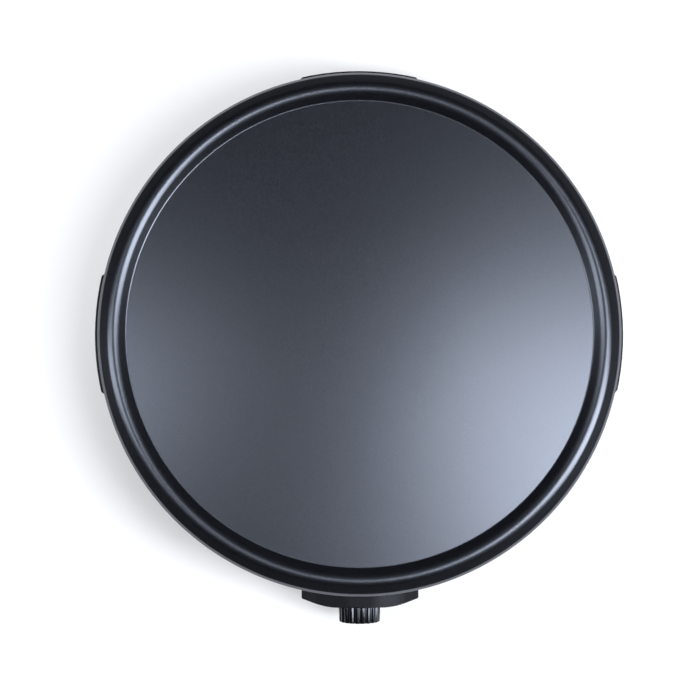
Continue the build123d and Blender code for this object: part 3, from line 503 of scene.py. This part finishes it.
# %% [markdown]
# The two lamp lenses are clear coloured plastic. The lamps behind them are off, so the lenses look
# deep and dark, with a bright skin.


# %% Lenses and lamps
def make_lens(name, deep, bright):
    """A coloured clear plastic with a slow change of depth."""
    values = {"Grains per metre": 900.0, "Clouds per metre": 160.0, "Contrast": 0.3}
    material, tree, shader, effect = start_finish(
        name, grain_group, values,
        Transmission_Weight=0.35, IOR=1.49, Coat_Weight=0.6, Coat_Roughness=0.06)
    cloud = effect.outputs["Cloud"]
    tree.links.new(blend_colours(tree, cloud, deep, bright), shader.inputs["Base Color"])
    tree.links.new(spread_between(tree, cloud, 0.08, 0.16), shader.inputs["Roughness"])
    give_bump(tree, shader, effect.outputs["Height"], strength=0.1, depth=0.03 * mm)
    return material


red_lens = make_lens("red_lens", (0.30, 0.012, 0.008), (0.55, 0.03, 0.02))
green_lens = make_lens("green_lens", (0.01, 0.16, 0.04), (0.03, 0.34, 0.09))
lamp_glass = make_lens("lamp_glass", (0.62, 0.5, 0.42), (0.8, 0.68, 0.6))
print("lenses ready")

# %% [markdown]
# ## The plate
#
# The plate is one casting that is turned on its top. It could be modelled face by face, but its
# outline follows a rule: straight stretches joined by tangent arcs. So the corners and radii are
# listed, and fine arcs are worked out from them. Then the crown's reflections run as thin unbroken
# rings. Its slopes were fitted until those rings lay where the photograph has them.

# %% The plate's sizes
disc_radius = 150.1 * mm
disc_thickness = 7.5 * mm
well_depth = 5.2 * mm
well_slope = radians(44.0)
well_fillet = 1.6 * mm
crown_inner_radius = 7.0 * mm
crown_outer_radius = 6.0 * mm
crown_flat = 0.1 * mm
rim_slope = radians(34.0)
lip_slope = radians(55.0)
lip_width = 1.9 * mm
lip_bend = 1.0 * mm
rim_edge_radius = 1.2 * mm
crown_wall = 5.4 * mm
skirt_wall = 3.5 * mm
lip_round = 0.5 * mm
cavity_round = 0.8 * mm
cavity_margin = crown_wall / 4
under_round = 2.0 * mm
skirt_drop = 12.5 * mm
skirt_z = crown_z - skirt_drop
disc_z = crown_z - well_depth
under_z = disc_z - disc_thickness
print("disc at", round(disc_z / mm, 1), "mm above the table")

# %% [markdown]
# No cast or moulded edge is sharp. So each corner of an outline is rounded by an arc that touches
# both of its sides. The plate, the knob and the feet are all drawn in this way.


# %% Rounding an outline
def round_corner(before, corner, after, radius, steps):
    """Points along the tangent arc that rounds a corner."""
    corner = Vector(corner)
    back = (Vector(before) - corner).normalized()
    ahead = (Vector(after) - corner).normalized()
    half = back.angle(ahead) / 2
    centre = corner + (back + ahead).normalized() * (radius / sin(half))
    start = corner + back * (radius / tan(half)) - centre
    end = corner + ahead * (radius / tan(half)) - centre
    turn = pi - 2 * half
    shares = [i / steps for i in range(steps + 1)]
    arc = [(start * sin(turn * (1 - s)) + end * sin(turn * s)) / sin(turn) for s in shares]
    return [tuple(centre + offset) for offset in arc]


def rounded_outline(start, corners, end, steps=8):
    """An outline through corners that each have a radius; a radius of nought keeps a corner."""
    places = [start] + [corner for corner, radius in corners] + [end]
    outline = [start]
    for before, (corner, radius), after in zip(places, corners, places[2:]):
        outline += round_corner(before, corner, after, radius, steps) if radius else [corner]
    return outline + [end]


print("outline helpers ready")

# %% [markdown]
# The section runs from the middle of the top over the crown, round the skirt and back under the
# plate. Corners between two slopes are worked out from those slopes.


# %% The plate
def plate_outline():
    """The plate's whole section, from the middle of its top to the middle of its underside."""
    slope_foot = disc_radius + well_fillet * tan(well_slope / 2)
    crown_in = slope_foot + well_depth / tan(well_slope)
    arc_in = crown_inner_radius * tan(well_slope / 2)
    arc_out = crown_outer_radius * tan(rim_slope / 2)
    crown_out = crown_in + arc_in + crown_flat + arc_out
    lip_in = plate_radius - lip_width
    lip_z = crown_z - (lip_in - crown_out) * tan(rim_slope)
    edge_z = lip_z - lip_width * tan(lip_slope)
    cavity_top = crown_z - crown_wall
    cavity_out = plate_radius - skirt_wall
    cavity_in = disc_radius + (cavity_top - under_z) / tan(well_slope) + cavity_margin
    outline = [
        ((disc_radius / 2, disc_z), 0),
        ((slope_foot, disc_z), well_fillet),
        ((crown_in, crown_z), crown_inner_radius),
        ((crown_out, crown_z), crown_outer_radius),
        ((lip_in, lip_z), lip_bend),
        ((plate_radius, edge_z), rim_edge_radius),
        ((plate_radius, skirt_z), lip_round),
        ((cavity_out, skirt_z), lip_round),
        ((cavity_out, cavity_top), cavity_round),
        ((cavity_in, cavity_top), cavity_round),
        ((disc_radius, under_z), under_round),
        ((disc_radius / 2, under_z), 0),
    ]
    return rounded_outline((0.0, disc_z), outline, (0.0, under_z))


to_plate_axis = Matrix.Translation((0.0, axis_y, 0.0))
plate_mesh = baked("crepe_plate", line_mesh("plate_line", plate_outline()), turning_tree,
                   {"Steps round": 256, "Material": coating}, crisp=30.0)
piece("crepe_plate", plate_mesh, "body", ["cooking_plate"], to_plate_axis)

# %% [markdown]
# ## The knob
#
# The knob is a moulded cap whose flutes give the fingers a hold. Its flutes could be cut one by
# one, but the turning tree presses all twenty into the side at once. They fade out towards the end
# face, which is dished by a fraction of a millimetre. The outline starts inside, at the middle of
# the knob's hollow.

# %% The knob
knob_length = knob_high.y - knob_low.y
knob_radius = 13.8 * mm
knob_end_radius = 13.45 * mm
knob_edge = 0.9 * mm
knob_wall = 2.2 * mm
flute_depth = 1.0 * mm
knob_dish = 0.25 * mm
knob_land = 2.6 * mm
dish_slope = 0.6 * mm
dish_round = 0.3 * mm
hollow_round = 0.8 * mm
mouth_round = 0.2 * mm
back_round = 0.25 * mm
flute_count = 20
steps_per_flute = 20
flute_start = knob_end_radius - 1.9 * mm
flute_fade = 1.3 * mm
hollow_radius = knob_end_radius - knob_wall - flute_depth
hollow_end = knob_length - knob_wall
dish_end = knob_length - knob_dish
knob_outline = rounded_outline((0.0, hollow_end), [
    ((hollow_radius, hollow_end), hollow_round),
    ((hollow_radius, 0.0), mouth_round),
    ((knob_radius, 0.0), back_round),
    ((knob_end_radius, knob_length), knob_edge),
    ((knob_end_radius - knob_land, knob_length), dish_round),
    ((knob_end_radius - knob_land - dish_slope, dish_end), dish_round),
], (0.0, dish_end), steps=6)
knob_axis = Matrix.Translation((0.0, knob_high.y, knob_axis_z)) @ Matrix.Rotation(pi / 2, 4, "X")
rest_angle = radians(135.0)
rest_turn = Matrix.Rotation(rest_angle, 4, "Z")
knob_mesh = baked("fluted_knob", line_mesh("knob_line", knob_outline), turning_tree, {
    "Steps round": flute_count * steps_per_flute,
    "Ribs": flute_count,
    "Rib depth": flute_depth,
    "Rib share": 0.3,
    "Plain radius": flute_start,
    "Fade": flute_fade,
    "Material": knob_plastic,
}, crisp=50.0)
piece("fluted_knob", knob_mesh, "knob", ["knob"], knob_axis @ rest_turn)

# %% [markdown]
# ## The mark on the knob and the dial round it
#
# A white bar on the knob's face shows the setting. At rest it points to OFF at the lower left. It
# is a thin body of its own, because ink that is only painted on would have no edge. The dial is
# printed on the panel: short ticks, which a second tree sets out along an arc, and plain numbers.


# %% The knob's mark
def slab_mesh(name, width, length, height, round_by, material):
    """A thin bar with rounded corners, lying flat with its length along Y."""
    shape = bmesh.new()
    bmesh.ops.create_cube(shape, size=1.0, matrix=Matrix.Diagonal((width, length, height, 1.0)))
    upright = [e for e in shape.edges if abs(e.verts[0].co.z - e.verts[1].co.z) > height / 2]
    bmesh.ops.bevel(shape, geom=upright, offset=round_by, segments=4, affect="EDGES", profile=0.5)
    mesh = bpy.data.meshes.new(name)
    shape.to_mesh(mesh)
    shape.free()
    mesh.materials.append(material)
    return closed_mesh(mesh)


mark_length = 8.0 * mm
mark_width = 1.3 * mm
mark_height = 0.3 * mm
mark_round = 0.6 * mm
mark_sink = 0.08 * mm
mark_margin = 3.5 * mm
mark_centre = knob_end_radius - mark_margin - mark_length / 2
mark_mesh = slab_mesh("knob_mark", mark_width, mark_length, mark_height, mark_round, ink)
on_face = Matrix.Translation((0.0, mark_centre, dish_end - mark_sink))
piece("knob_mark", mark_mesh, "knob", place=knob_axis @ rest_turn @ on_face)

# %% [markdown]
# Each tick is the same small bar. The tree sets seven points along the arc, turns a bar outwards at
# each, and leaves out those that fall in a gap about the top, where the brow of the housing hangs
# over the panel.


# %% The tree that sets out the ticks
def make_arc_tree():
    """Bars set out along an arc about the Z axis, each turned to point outwards."""
    tree, given = new_group("Ticks along an arc", "GeometryNodeTree", [
        ("Tick", "Geometry"),
        ("Count", "Int", 7),
        ("Radius", "Float", 15.0 * mm),
        ("Sweep", "Float", radians(270.0)),
        ("Gap", "Float", radians(20.0)),
        ("Material", "Material"),
    ], [("Geometry", "Geometry")])
    line = add(tree, "GeometryNodeMeshLine", {"Count": given["Count"]})
    index = add(tree, "GeometryNodeInputIndex").outputs[0]
    share = calc(tree, "DIVIDE", index, calc(tree, "SUBTRACT", given["Count"], 1.0))
    turn = calc(tree, "MULTIPLY", calc(tree, "SUBTRACT", 0.5, share), given["Sweep"])
    back_turn = calc(tree, "MULTIPLY", turn, -1.0)
    place = add(tree, "ShaderNodeCombineXYZ", {
        "X": calc(tree, "MULTIPLY", given["Radius"], calc(tree, "SINE", back_turn)),
        "Y": calc(tree, "MULTIPLY", given["Radius"], calc(tree, "COSINE", turn)),
    }).outputs[0]
    points = add(tree, "GeometryNodeSetPosition", {"Geometry": line.outputs[0], "Position": place})
    rotation = add(tree, "ShaderNodeCombineXYZ", {"Z": turn}).outputs[0]
    beside = calc(tree, "GREATER_THAN", calc(tree, "ABSOLUTE", turn), given["Gap"])
    ticks = add(tree, "GeometryNodeInstanceOnPoints", {
        "Points": points.outputs[0],
        "Selection": beside,
        "Instance": given["Tick"],
        "Rotation": rotation,
    })
    hand_out(tree, ticks.outputs[0], given["Material"])
    return tree


arc_tree = make_arc_tree()
print("arc tree with", len(arc_tree.nodes), "nodes")

# %% [markdown]
# The panel's face is flat behind the knob and bends back at both sides. Ink that reaches past the
# flat part is bent back by the same radius, so that it stays on the face.

# %% Dial ticks
panel_flat = 14.76 * mm
panel_bend = 44.0 * mm
ink_thickness = 0.06 * mm
panel_axis = Matrix.Translation((0.0, panel_low.y, knob_axis_z)) @ Matrix.Rotation(pi / 2, 4, "X")


def onto_panel(mesh):
    """Moves ink drawn about the knob's axis onto the panel, and bends it with the face."""
    mesh.transform(panel_axis)
    for vertex in mesh.vertices:
        past = max(0.0, abs(vertex.co.x) - panel_flat)
        vertex.co.y += past * past / (2 * panel_bend)
    return mesh


tick_width = 0.35 * mm
tick_length = 1.2 * mm
tick_round = 0.1 * mm
tick_radius = 15.0 * mm
tick_mesh = slab_mesh("dial_tick", tick_width, tick_length, ink_thickness, tick_round, ink)
ticks = baked("dial_ticks", tick_mesh, arc_tree, {"Radius": tick_radius, "Material": ink})
piece("dial_ticks", onto_panel(ticks), "body")

# %% [markdown]
# The numbers and the word OFF are text objects that are turned into meshes. Each row of the list
# gives what is printed, its angle from the top in degrees, and its distance from the knob's axis in
# millimetres.


# %% Numbers
def printed(name, words, size, angle, radius):
    """A printed word or number, centred at an angle and a radius round the knob."""
    text = bpy.data.curves.new(name, "FONT")
    text.body = words
    text.size = size
    text.align_x = "CENTER"
    text.align_y = "CENTER"
    text.extrude = ink_thickness / 2
    holder = new_object(name + "_text", text)
    evaluated = holder.evaluated_get(bpy.context.evaluated_depsgraph_get())
    mesh = bpy.data.meshes.new_from_object(evaluated)
    bpy.data.objects.remove(holder)
    mesh.materials.clear()
    mesh.materials.append(ink)
    mesh.transform(Matrix.Translation((radius * sin(angle), radius * cos(angle), 0.0)))
    return onto_panel(mesh)


number_size = 2.2 * mm
dial = [
    ("OFF", -135, 18.3),
    ("1", -90, 17.2),
    ("2", -52, 17.0),
    ("4", 52, 17.0),
    ("5", 90, 17.2),
    ("6", 135, 17.6),
]
for words, degrees_round, radius in dial:
    name = "dial_" + words.lower()
    piece(name, printed(name, words, number_size, radians(degrees_round), radius * mm), "body")

# %% [markdown]
# ## Screws and feet under the base
#
# From below, eight screws and four feet show. Each kind repeats. Copies could be made by hand, but
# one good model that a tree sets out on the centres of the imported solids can't end up beside its
# hole.


# %% Setting out copies
def centres_of(node_name):
    """The middle of every separate solid of a node, from loose triangles merged in a copy."""
    shape = bmesh.new()
    shape.from_mesh(nodes[node_name].data)
    bmesh.ops.remove_doubles(shape, verts=shape.verts, dist=1e-6)
    left = set(shape.verts)
    centres = []
    while left:
        group = [left.pop()]
        for vertex in group:
            for edge in vertex.link_edges:
                other = edge.other_vert(vertex)
                if other in left:
                    left.remove(other)
                    group.append(other)
        low = Vector([min(v.co[i] for v in group) for i in range(3)])
        high = Vector([max(v.co[i] for v in group) for i in range(3)])
        centres.append(((low + high) / 2, low, high))
    shape.free()
    return centres


def make_copies_tree():
    """One solid copied onto every point of the start mesh."""
    tree, given = new_group("Copies on points", "GeometryNodeTree", [
        ("Points", "Geometry"),
        ("Solid", "Object"),
        ("Material", "Material"),
    ], [("Geometry", "Geometry")])
    solid = add(tree, "GeometryNodeObjectInfo", {"Object": given["Solid"]}).outputs["Geometry"]
    copies = add(tree, "GeometryNodeInstanceOnPoints", {
        "Points": given["Points"],
        "Instance": solid,
    })
    hand_out(tree, copies.outputs[0], given["Material"])
    return tree


copies_tree = make_copies_tree()


def set_out(name, solid_mesh, points, material, body, replaced):
    """Copies of a solid on points, as one piece that replaces a node."""
    model = new_object(name + "_model", solid_mesh)
    spots = bpy.data.meshes.new(name + "_points")
    spots.from_pydata([tuple(p) for p in points], [], [])
    mesh = baked(name, spots, copies_tree, {"Solid": model, "Material": material}, crisp=40.0)
    bpy.data.objects.remove(model)
    piece(name, mesh, body, replaced)


print("copies tree with", len(copies_tree.nodes), "nodes")

# %% [markdown]
# A foot is a soft rubber button with a hollow in its sole, which grips the table by its rim.

# %% Rubber feet
foot_solids = centres_of("rubber_feet")
foot_low, foot_high = foot_solids[0][1:]
foot_radius = (foot_high.x - foot_low.x) / 2
foot_top = shell_low.z - 0.05 * mm
stem_radius = 3.3 * mm
sole_hollow = 1.2 * mm
sole_slope = 0.6 * mm
sole_rim_in = foot_radius - 3.4 * mm
sole_rim_out = foot_radius - 0.9 * mm
foot_outline = rounded_outline((0.0, sole_hollow), [
    ((sole_rim_in - sole_slope, sole_hollow), 0.4 * mm),
    ((sole_rim_in, 0.0), 0.3 * mm),
    ((sole_rim_out, 0.0), 0.8 * mm),
    ((foot_radius, foot_top), 1.0 * mm),
    ((stem_radius, foot_top), 0),
    ((stem_radius, foot_high.z), 0.5 * mm),
], (0.0, foot_high.z), steps=5)
foot_mesh = baked("one_foot", line_mesh("foot_line", foot_outline), turning_tree,
                  {"Steps round": 64, "Material": rubber})
foot_places = [(centre.x, centre.y, 0.0) for centre, low, high in foot_solids]
set_out("soft_feet", foot_mesh, foot_places, rubber, "body", ["rubber_feet"])

# %% [markdown]
# The screws have hexagon heads, because a machine drives them. Their threads stay hidden in the
# posts, so a plain shank is enough. The head widens a little towards its seat, as a pressed head
# does.


# %% Screws
head_end = 1.06
head_seat = 1.14
head_round = 0.25 * mm


def screw_mesh(name, head_width, head_height, shank_radius, whole):
    """A hexagon-headed screw, head down, from z = 0 to its whole length."""
    shape = bmesh.new()
    half = head_width / 2
    bmesh.ops.create_cone(
        shape, cap_ends=True, segments=6, radius1=half * head_end, radius2=half * head_seat,
        depth=head_height, matrix=Matrix.Translation((0, 0, head_height / 2)))
    bmesh.ops.bevel(shape, geom=list(shape.edges), offset=head_round, segments=2, affect="EDGES",
                    profile=0.5)
    bmesh.ops.create_cone(
        shape, cap_ends=True, segments=24, radius1=shank_radius, radius2=shank_radius,
        depth=whole - head_height / 2,
        matrix=Matrix.Translation((0, 0, (whole + head_height / 2) / 2)))
    mesh = bpy.data.meshes.new(name)
    shape.to_mesh(mesh)
    shape.free()
    return mesh


screw_sizes = {
    "plate_screws": (8.0 * mm, 3.0 * mm, 1.95 * mm),
    "cover_screws": (6.0 * mm, 1.8 * mm, 1.45 * mm),
}
for node_name, (head_width, head_height, shank_radius) in screw_sizes.items():
    solids = centres_of(node_name)
    centre, low, high = solids[0]
    mesh = screw_mesh(node_name + "_one", head_width, head_height, shank_radius, high.z - low.z)
    spots = [(centre.x, centre.y, low.z) for centre, low, high in solids]
    set_out("hex_" + node_name, mesh, spots, plated_steel, "body", [node_name])

# %% [markdown]
# ## Moulded pieces with soft edges
#
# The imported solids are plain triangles, so their round walls would look faceted. They could be
# modelled anew, but a copy that is merged and smoothed keeps every hole and web, and only edges
# sharper than a set angle stay crisp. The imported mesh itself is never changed. On the base, the
# copy also gets what a mould rounds off: the ends of the grips and the flanks of the brow over the
# dial.


# %% Softening the base
brow_rise = 2.8 * mm
brow_flat = (17.0 * mm, 27.0 * mm)
brow_wave = (7.0 * mm, 30.0 * mm)
brow_back = -125.0 * mm
brow_low = 44.5 * mm
strip_width = 1.5 * mm
strips_each_side = 20
grip_corner = 171.0 * mm
grip_round = 2.2 * mm
upright_rise = 5.0 * mm
corner_angle = radians(50.0)


def fall(across, limits):
    """One up to the first limit, nought from the second on, and straight between."""
    return min(1.0, max(0.0, (limits[1] - across) / (limits[1] - limits[0])))


def from_axis(vertex):
    """How far a point stands from the plate's axis."""
    return (vertex.co.xy - Vector((0.0, axis_y))).length


def on_grip_corner(edge):
    """Whether an edge stands upright at the end of a grip."""
    first, second = edge.verts
    return (abs(first.co.z - second.co.z) > upright_rise and
            min(from_axis(first), from_axis(second)) > grip_corner and first.co.y > brow_back and
            len(edge.link_faces) == 2 and edge.calc_face_angle() > corner_angle)


def on_brow(place):
    """Whether a place lies on the housing's top."""
    return place.y < brow_back and place.z > brow_low


def soften_base(mesh):
    """Rounds the grips' corners, and gives the brow narrow strips and one soft wave."""
    shape = bmesh.new()
    shape.from_mesh(mesh)
    bmesh.ops.remove_doubles(shape, verts=shape.verts, dist=1e-6)
    corners = [edge for edge in shape.edges if on_grip_corner(edge)]
    bmesh.ops.bevel(shape, geom=corners, offset=grip_round, segments=4, affect="EDGES", profile=0.5)
    print("grip corners rounded", len(corners))
    for step in range(-strips_each_side, strips_each_side + 1):
        faces = [f for f in shape.faces if on_brow(f.calc_center_median())]
        edges = {e for f in faces for e in f.edges}
        points = {v for f in faces for v in f.verts}
        bmesh.ops.bisect_plane(shape, geom=[*faces, *edges, *points], dist=1e-6,
                               plane_co=(step * strip_width, 0, 0), plane_no=(1, 0, 0))
    for vertex in shape.verts:
        if on_brow(vertex.co):
            across = abs(vertex.co.x)
            wave = 0.5 - 0.5 * cos(pi * fall(across, brow_wave))
            vertex.co.z += brow_rise * (wave - fall(across, brow_flat))
    shape.to_mesh(mesh)
    shape.free()


print("brow in", 2 * strips_each_side + 2, "strips at most")

# %% [markdown]
# Six moulded pieces get such a copy: the base, the panel, the cover, both lenses and the bush of
# the cord's inlet.

# %% Smooth copies
smooth_crisp = 28.0


def smooth_copy(node_name, piece_name, material, reshape=None):
    """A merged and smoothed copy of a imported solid, which stands for it."""
    mesh = nodes[node_name].data.copy()
    mesh.name = piece_name
    mesh.materials.clear()
    mesh.materials.append(material)
    for face in mesh.polygons:
        face.material_index = 0
    if "custom_normal" in mesh.attributes:
        mesh.attributes.remove(mesh.attributes["custom_normal"])
    if reshape:
        reshape(mesh)
    piece(piece_name, closed_mesh(mesh, smooth_crisp), "body", [node_name])


smooth_copy("base_shell", "moulded_base", shell_plastic, reshape=soften_base)
smooth_copy("control_panel", "bowed_panel", panel_plastic)
smooth_copy("bottom_cover", "vented_cover", shell_plastic)
smooth_copy("power_lamp_lens", "red_lamp_lens", red_lens)
smooth_copy("ready_lamp_lens", "green_lamp_lens", green_lens)
smooth_copy("cord_bush", "inlet_bush", knob_plastic)

# %% [markdown]
# ## Finishes for the inner pieces
#
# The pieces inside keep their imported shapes, because their true forms are all in them. Each gets
# the finish of its own metal, ceramic, plastic or glass.

# %% Inner finishes
inner_finishes = {
    sheath_steel: ["heating_element"],
    plated_steel: [
        "element_pins", "heat_shield", "plate_spacers", "panel_screws", "knob_spring",
        "thermostat_shaft", "shaft_circlip", "thermostat_bracket", "expansion_capsule",
        "bulb_clip", "fuse_clip", "clip_screws", "terminal_screws", "block_screws",
    ],
    ceramic: ["element_collars", "thermostat_body"],
    brass: ["adjusting_nut", "moving_blade", "fixed_blade", "earth_tag"],
    copper: ["capillary_tube", "sensing_bulb"],
    silver: ["contacts"],
    fuse_sleeve: ["thermal_fuse"],
    lamp_glass: ["neon_lamps"],
    block_plastic: ["terminal_block"],
    knob_plastic: ["bush_nut"],
}
for finish, names in inner_finishes.items():
    for name in names:
        nodes[name].data.materials.clear()
        nodes[name].data.materials.append(finish)
print("inner pieces finished", sum(len(names) for names in inner_finishes.values()))

# %% [markdown]
# ## The floor
#
# The object stands on a plain pale sheet. To the camera, and in reflections, the sheet adds a
# little of its own white to what the lamps give it. So it reads as white, and still keeps the soft
# shadow on the left. Far from the object, where the lamps grow weak, it adds more. Its back is
# clear, so that the model can be looked at from below.


# %% Floor
floor_reach = 6.0
near_glow, far_glow = 0.33, 0.95
glow_rises_from, glow_rises_to = 0.5, 2.2


def reflected(tree):
    """One for rays that come by a reflection or through glass."""
    rays = add(tree, "ShaderNodeLightPath").outputs
    return calc(tree, "MAXIMUM", rays["Is Glossy Ray"], rays["Is Transmission Ray"])


def to_camera(tree):
    """One for rays that come straight to the camera."""
    return add(tree, "ShaderNodeLightPath").outputs["Is Camera Ray"]


def make_floor_finish():
    """Pale paper that is a little brighter to the camera, with a faint tone in it."""
    values = {"Grains per metre": 300.0, "Clouds per metre": 2.0, "Contrast": 0.3}
    material, tree, shader, effect = start_finish("white_paper", grain_group, values)
    cloud = effect.outputs["Cloud"]
    paper = blend_colours(tree, cloud, (0.595, 0.60, 0.625), (0.615, 0.62, 0.645))
    tree.links.new(paper, shader.inputs["Base Color"])
    tree.links.new(spread_between(tree, cloud, 0.85, 0.95), shader.inputs["Roughness"])
    shader.inputs["Specular IOR Level"].default_value = 0.0
    seen = calc(tree, "MAXIMUM", to_camera(tree), reflected(tree))
    place = add(tree, "ShaderNodeTexCoord").outputs["Object"]
    away = add(tree, "ShaderNodeVectorMath", {0: place}, operation="LENGTH").outputs["Value"]
    own_white = stretch(tree, away, glow_rises_from, glow_rises_to, near_glow, far_glow)
    glow = add(tree, "ShaderNodeEmission", {"Strength": calc(tree, "MULTIPLY", seen, own_white)})
    both = add(tree, "ShaderNodeAddShader", {0: shader.outputs[0], 1: glow.outputs[0]})
    clear = add(tree, "ShaderNodeBsdfTransparent")
    behind = add(tree, "ShaderNodeNewGeometry").outputs["Backfacing"]
    one_sided = add(tree, "ShaderNodeMixShader", {
        0: behind,
        1: both.outputs[0],
        2: clear.outputs[0],
    })
    tree.links.new(one_sided.outputs[0], tree.nodes["Material Output"].inputs["Surface"])
    return material


floor_mesh = bpy.data.meshes.new("floor")
signs = [(-1, -1), (1, -1), (1, 1), (-1, 1)]
corners = [(floor_reach * x, floor_reach * y, 0.0) for x, y in signs]
floor_mesh.from_pydata(corners, [], [(0, 1, 2, 3)])
floor_mesh.materials.append(make_floor_finish())
floor = new_object("floor", floor_mesh)
floor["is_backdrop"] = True
print("floor", 2 * floor_reach, "m wide")

# %% [markdown]
# ## Light
#
# The photograph was lit by a large soft box on the right and a weaker one on the left, in a dark
# studio. The flat plate reflects what is above it. It is dark where neither box shows in it, and
# the boxes' soft reflections give its slow change from dark at the top to pale at the lower right.
# A third lamp behind lights only the floor and the matt pieces. Behind the floor stands a pale
# cove, which reflections show only low down, as in a real studio.


# %% World
sky_tone = (0.016, 0.017, 0.02)
sky_from, sky_fully = 0.3, 0.9
cove_tone = (0.94, 0.94, 0.95)
cove_top = 0.035


def make_world():
    """A dark studio with a faint light from overhead, and a pale cove behind the floor."""
    world = bpy.data.worlds.new("studio")
    world.use_nodes = True
    tree = world.node_tree
    direction = add(tree, "ShaderNodeTexCoord").outputs["Generated"]
    height = add(tree, "ShaderNodeSeparateXYZ", {0: direction}).outputs["Z"]
    sky = blend_colours(tree, stretch(tree, height, sky_from, sky_fully), (0.0, 0.0, 0.0), sky_tone)
    near_floor = stretch(tree, height, cove_top, 0.0)
    mirrored = calc(tree, "MULTIPLY", reflected(tree), near_floor)
    shows_cove = calc(tree, "MAXIMUM", to_camera(tree), mirrored)
    background = tree.nodes["Background"].inputs
    tree.links.new(blend_colours(tree, shows_cove, sky, cove_tone), background["Color"])
    background["Strength"].default_value = 1.0
    bpy.context.scene.world = world
    print("world with", len(tree.nodes), "nodes")


make_world()

# %% [markdown]
# Each lamp is a flat rectangle that looks at the middle of the disc. The places of the right and
# the left one were found by following the reflected view line from the brightest parts of the disc
# and of the crown.


# %% Soft boxes
def soft_box(name, place, width, height, watts, colour=(1.0, 1.0, 1.0)):
    """A soft box that looks at the disc's middle."""
    lamp = bpy.data.lights.new(name, "AREA")
    lamp.shape = "RECTANGLE"
    lamp.size = width
    lamp.size_y = height
    lamp.energy = watts
    lamp.color = colour
    holder = new_object(name, lamp)
    holder.location = place
    view = Vector((0.0, axis_y, disc_z)) - Vector(place)
    holder.rotation_euler = view.to_track_quat("-Z", "Y").to_euler()
    print(name, watts, "W")
    return holder


cold_white = (0.97, 0.98, 1.0)
soft_box("right_box", (0.539, -0.181, 0.886), 0.326, 0.944, watts=15.0, colour=cold_white)
soft_box("left_box", (-0.506, -0.044, 0.696), 0.148, 0.774, watts=3.6, colour=cold_white)
back_fill = soft_box("back_fill", (0.05, 0.9, 0.85), 0.9, 0.7, watts=6.5)
back_fill.visible_glossy = False

# %% [markdown]
# ## Camera
#
# The photograph looks almost straight down from about a metre, with the camera a little in front of
# the middle. The image is taken as 700 x 700 pixels, and the focal length in pixels gives the lens.

# %% Camera
picture_pixels = 700
focal_pixels = 1515.0
camera_elevation = radians(88.17)
camera_roll = radians(0.09)
camera_side_tilt = radians(1.2)
camera_distance = 0.9915
camera_target = Vector((-0.0064, -0.0014, 0.05))

camera_data = bpy.data.cameras.new("camera")
camera_data.sensor_width = 36.0
camera_data.lens = focal_pixels * camera_data.sensor_width / picture_pixels
camera_data.clip_start = 0.01
camera = new_object("camera", camera_data)
lean = Matrix.Rotation(pi / 2 - camera_elevation, 4, "X")
tilt = Matrix.Rotation(-camera_side_tilt, 4, "Y") @ lean
backward = tilt.to_3x3() @ Vector((0.0, 0.0, 1.0))
stand = Matrix.Translation(camera_target + backward * camera_distance)
camera.matrix_world = stand @ tilt @ Matrix.Rotation(-camera_roll, 4, "Z")
bpy.context.scene.camera = camera
bpy.context.scene.view_settings.view_transform = "Standard"
print("lens", round(camera_data.lens, 1), "mm")

# %% [markdown]
# ## Last checks
#
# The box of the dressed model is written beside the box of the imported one, to see that nothing
# grew.

# %% Sizes and finish
bpy.context.view_layer.update()
final_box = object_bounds()
for label, box in (("packed", cad_box), ("dressed", final_box)):
    print(label, "model in mm", [round((high - low) / mm, 1) for low, high in zip(*box)])
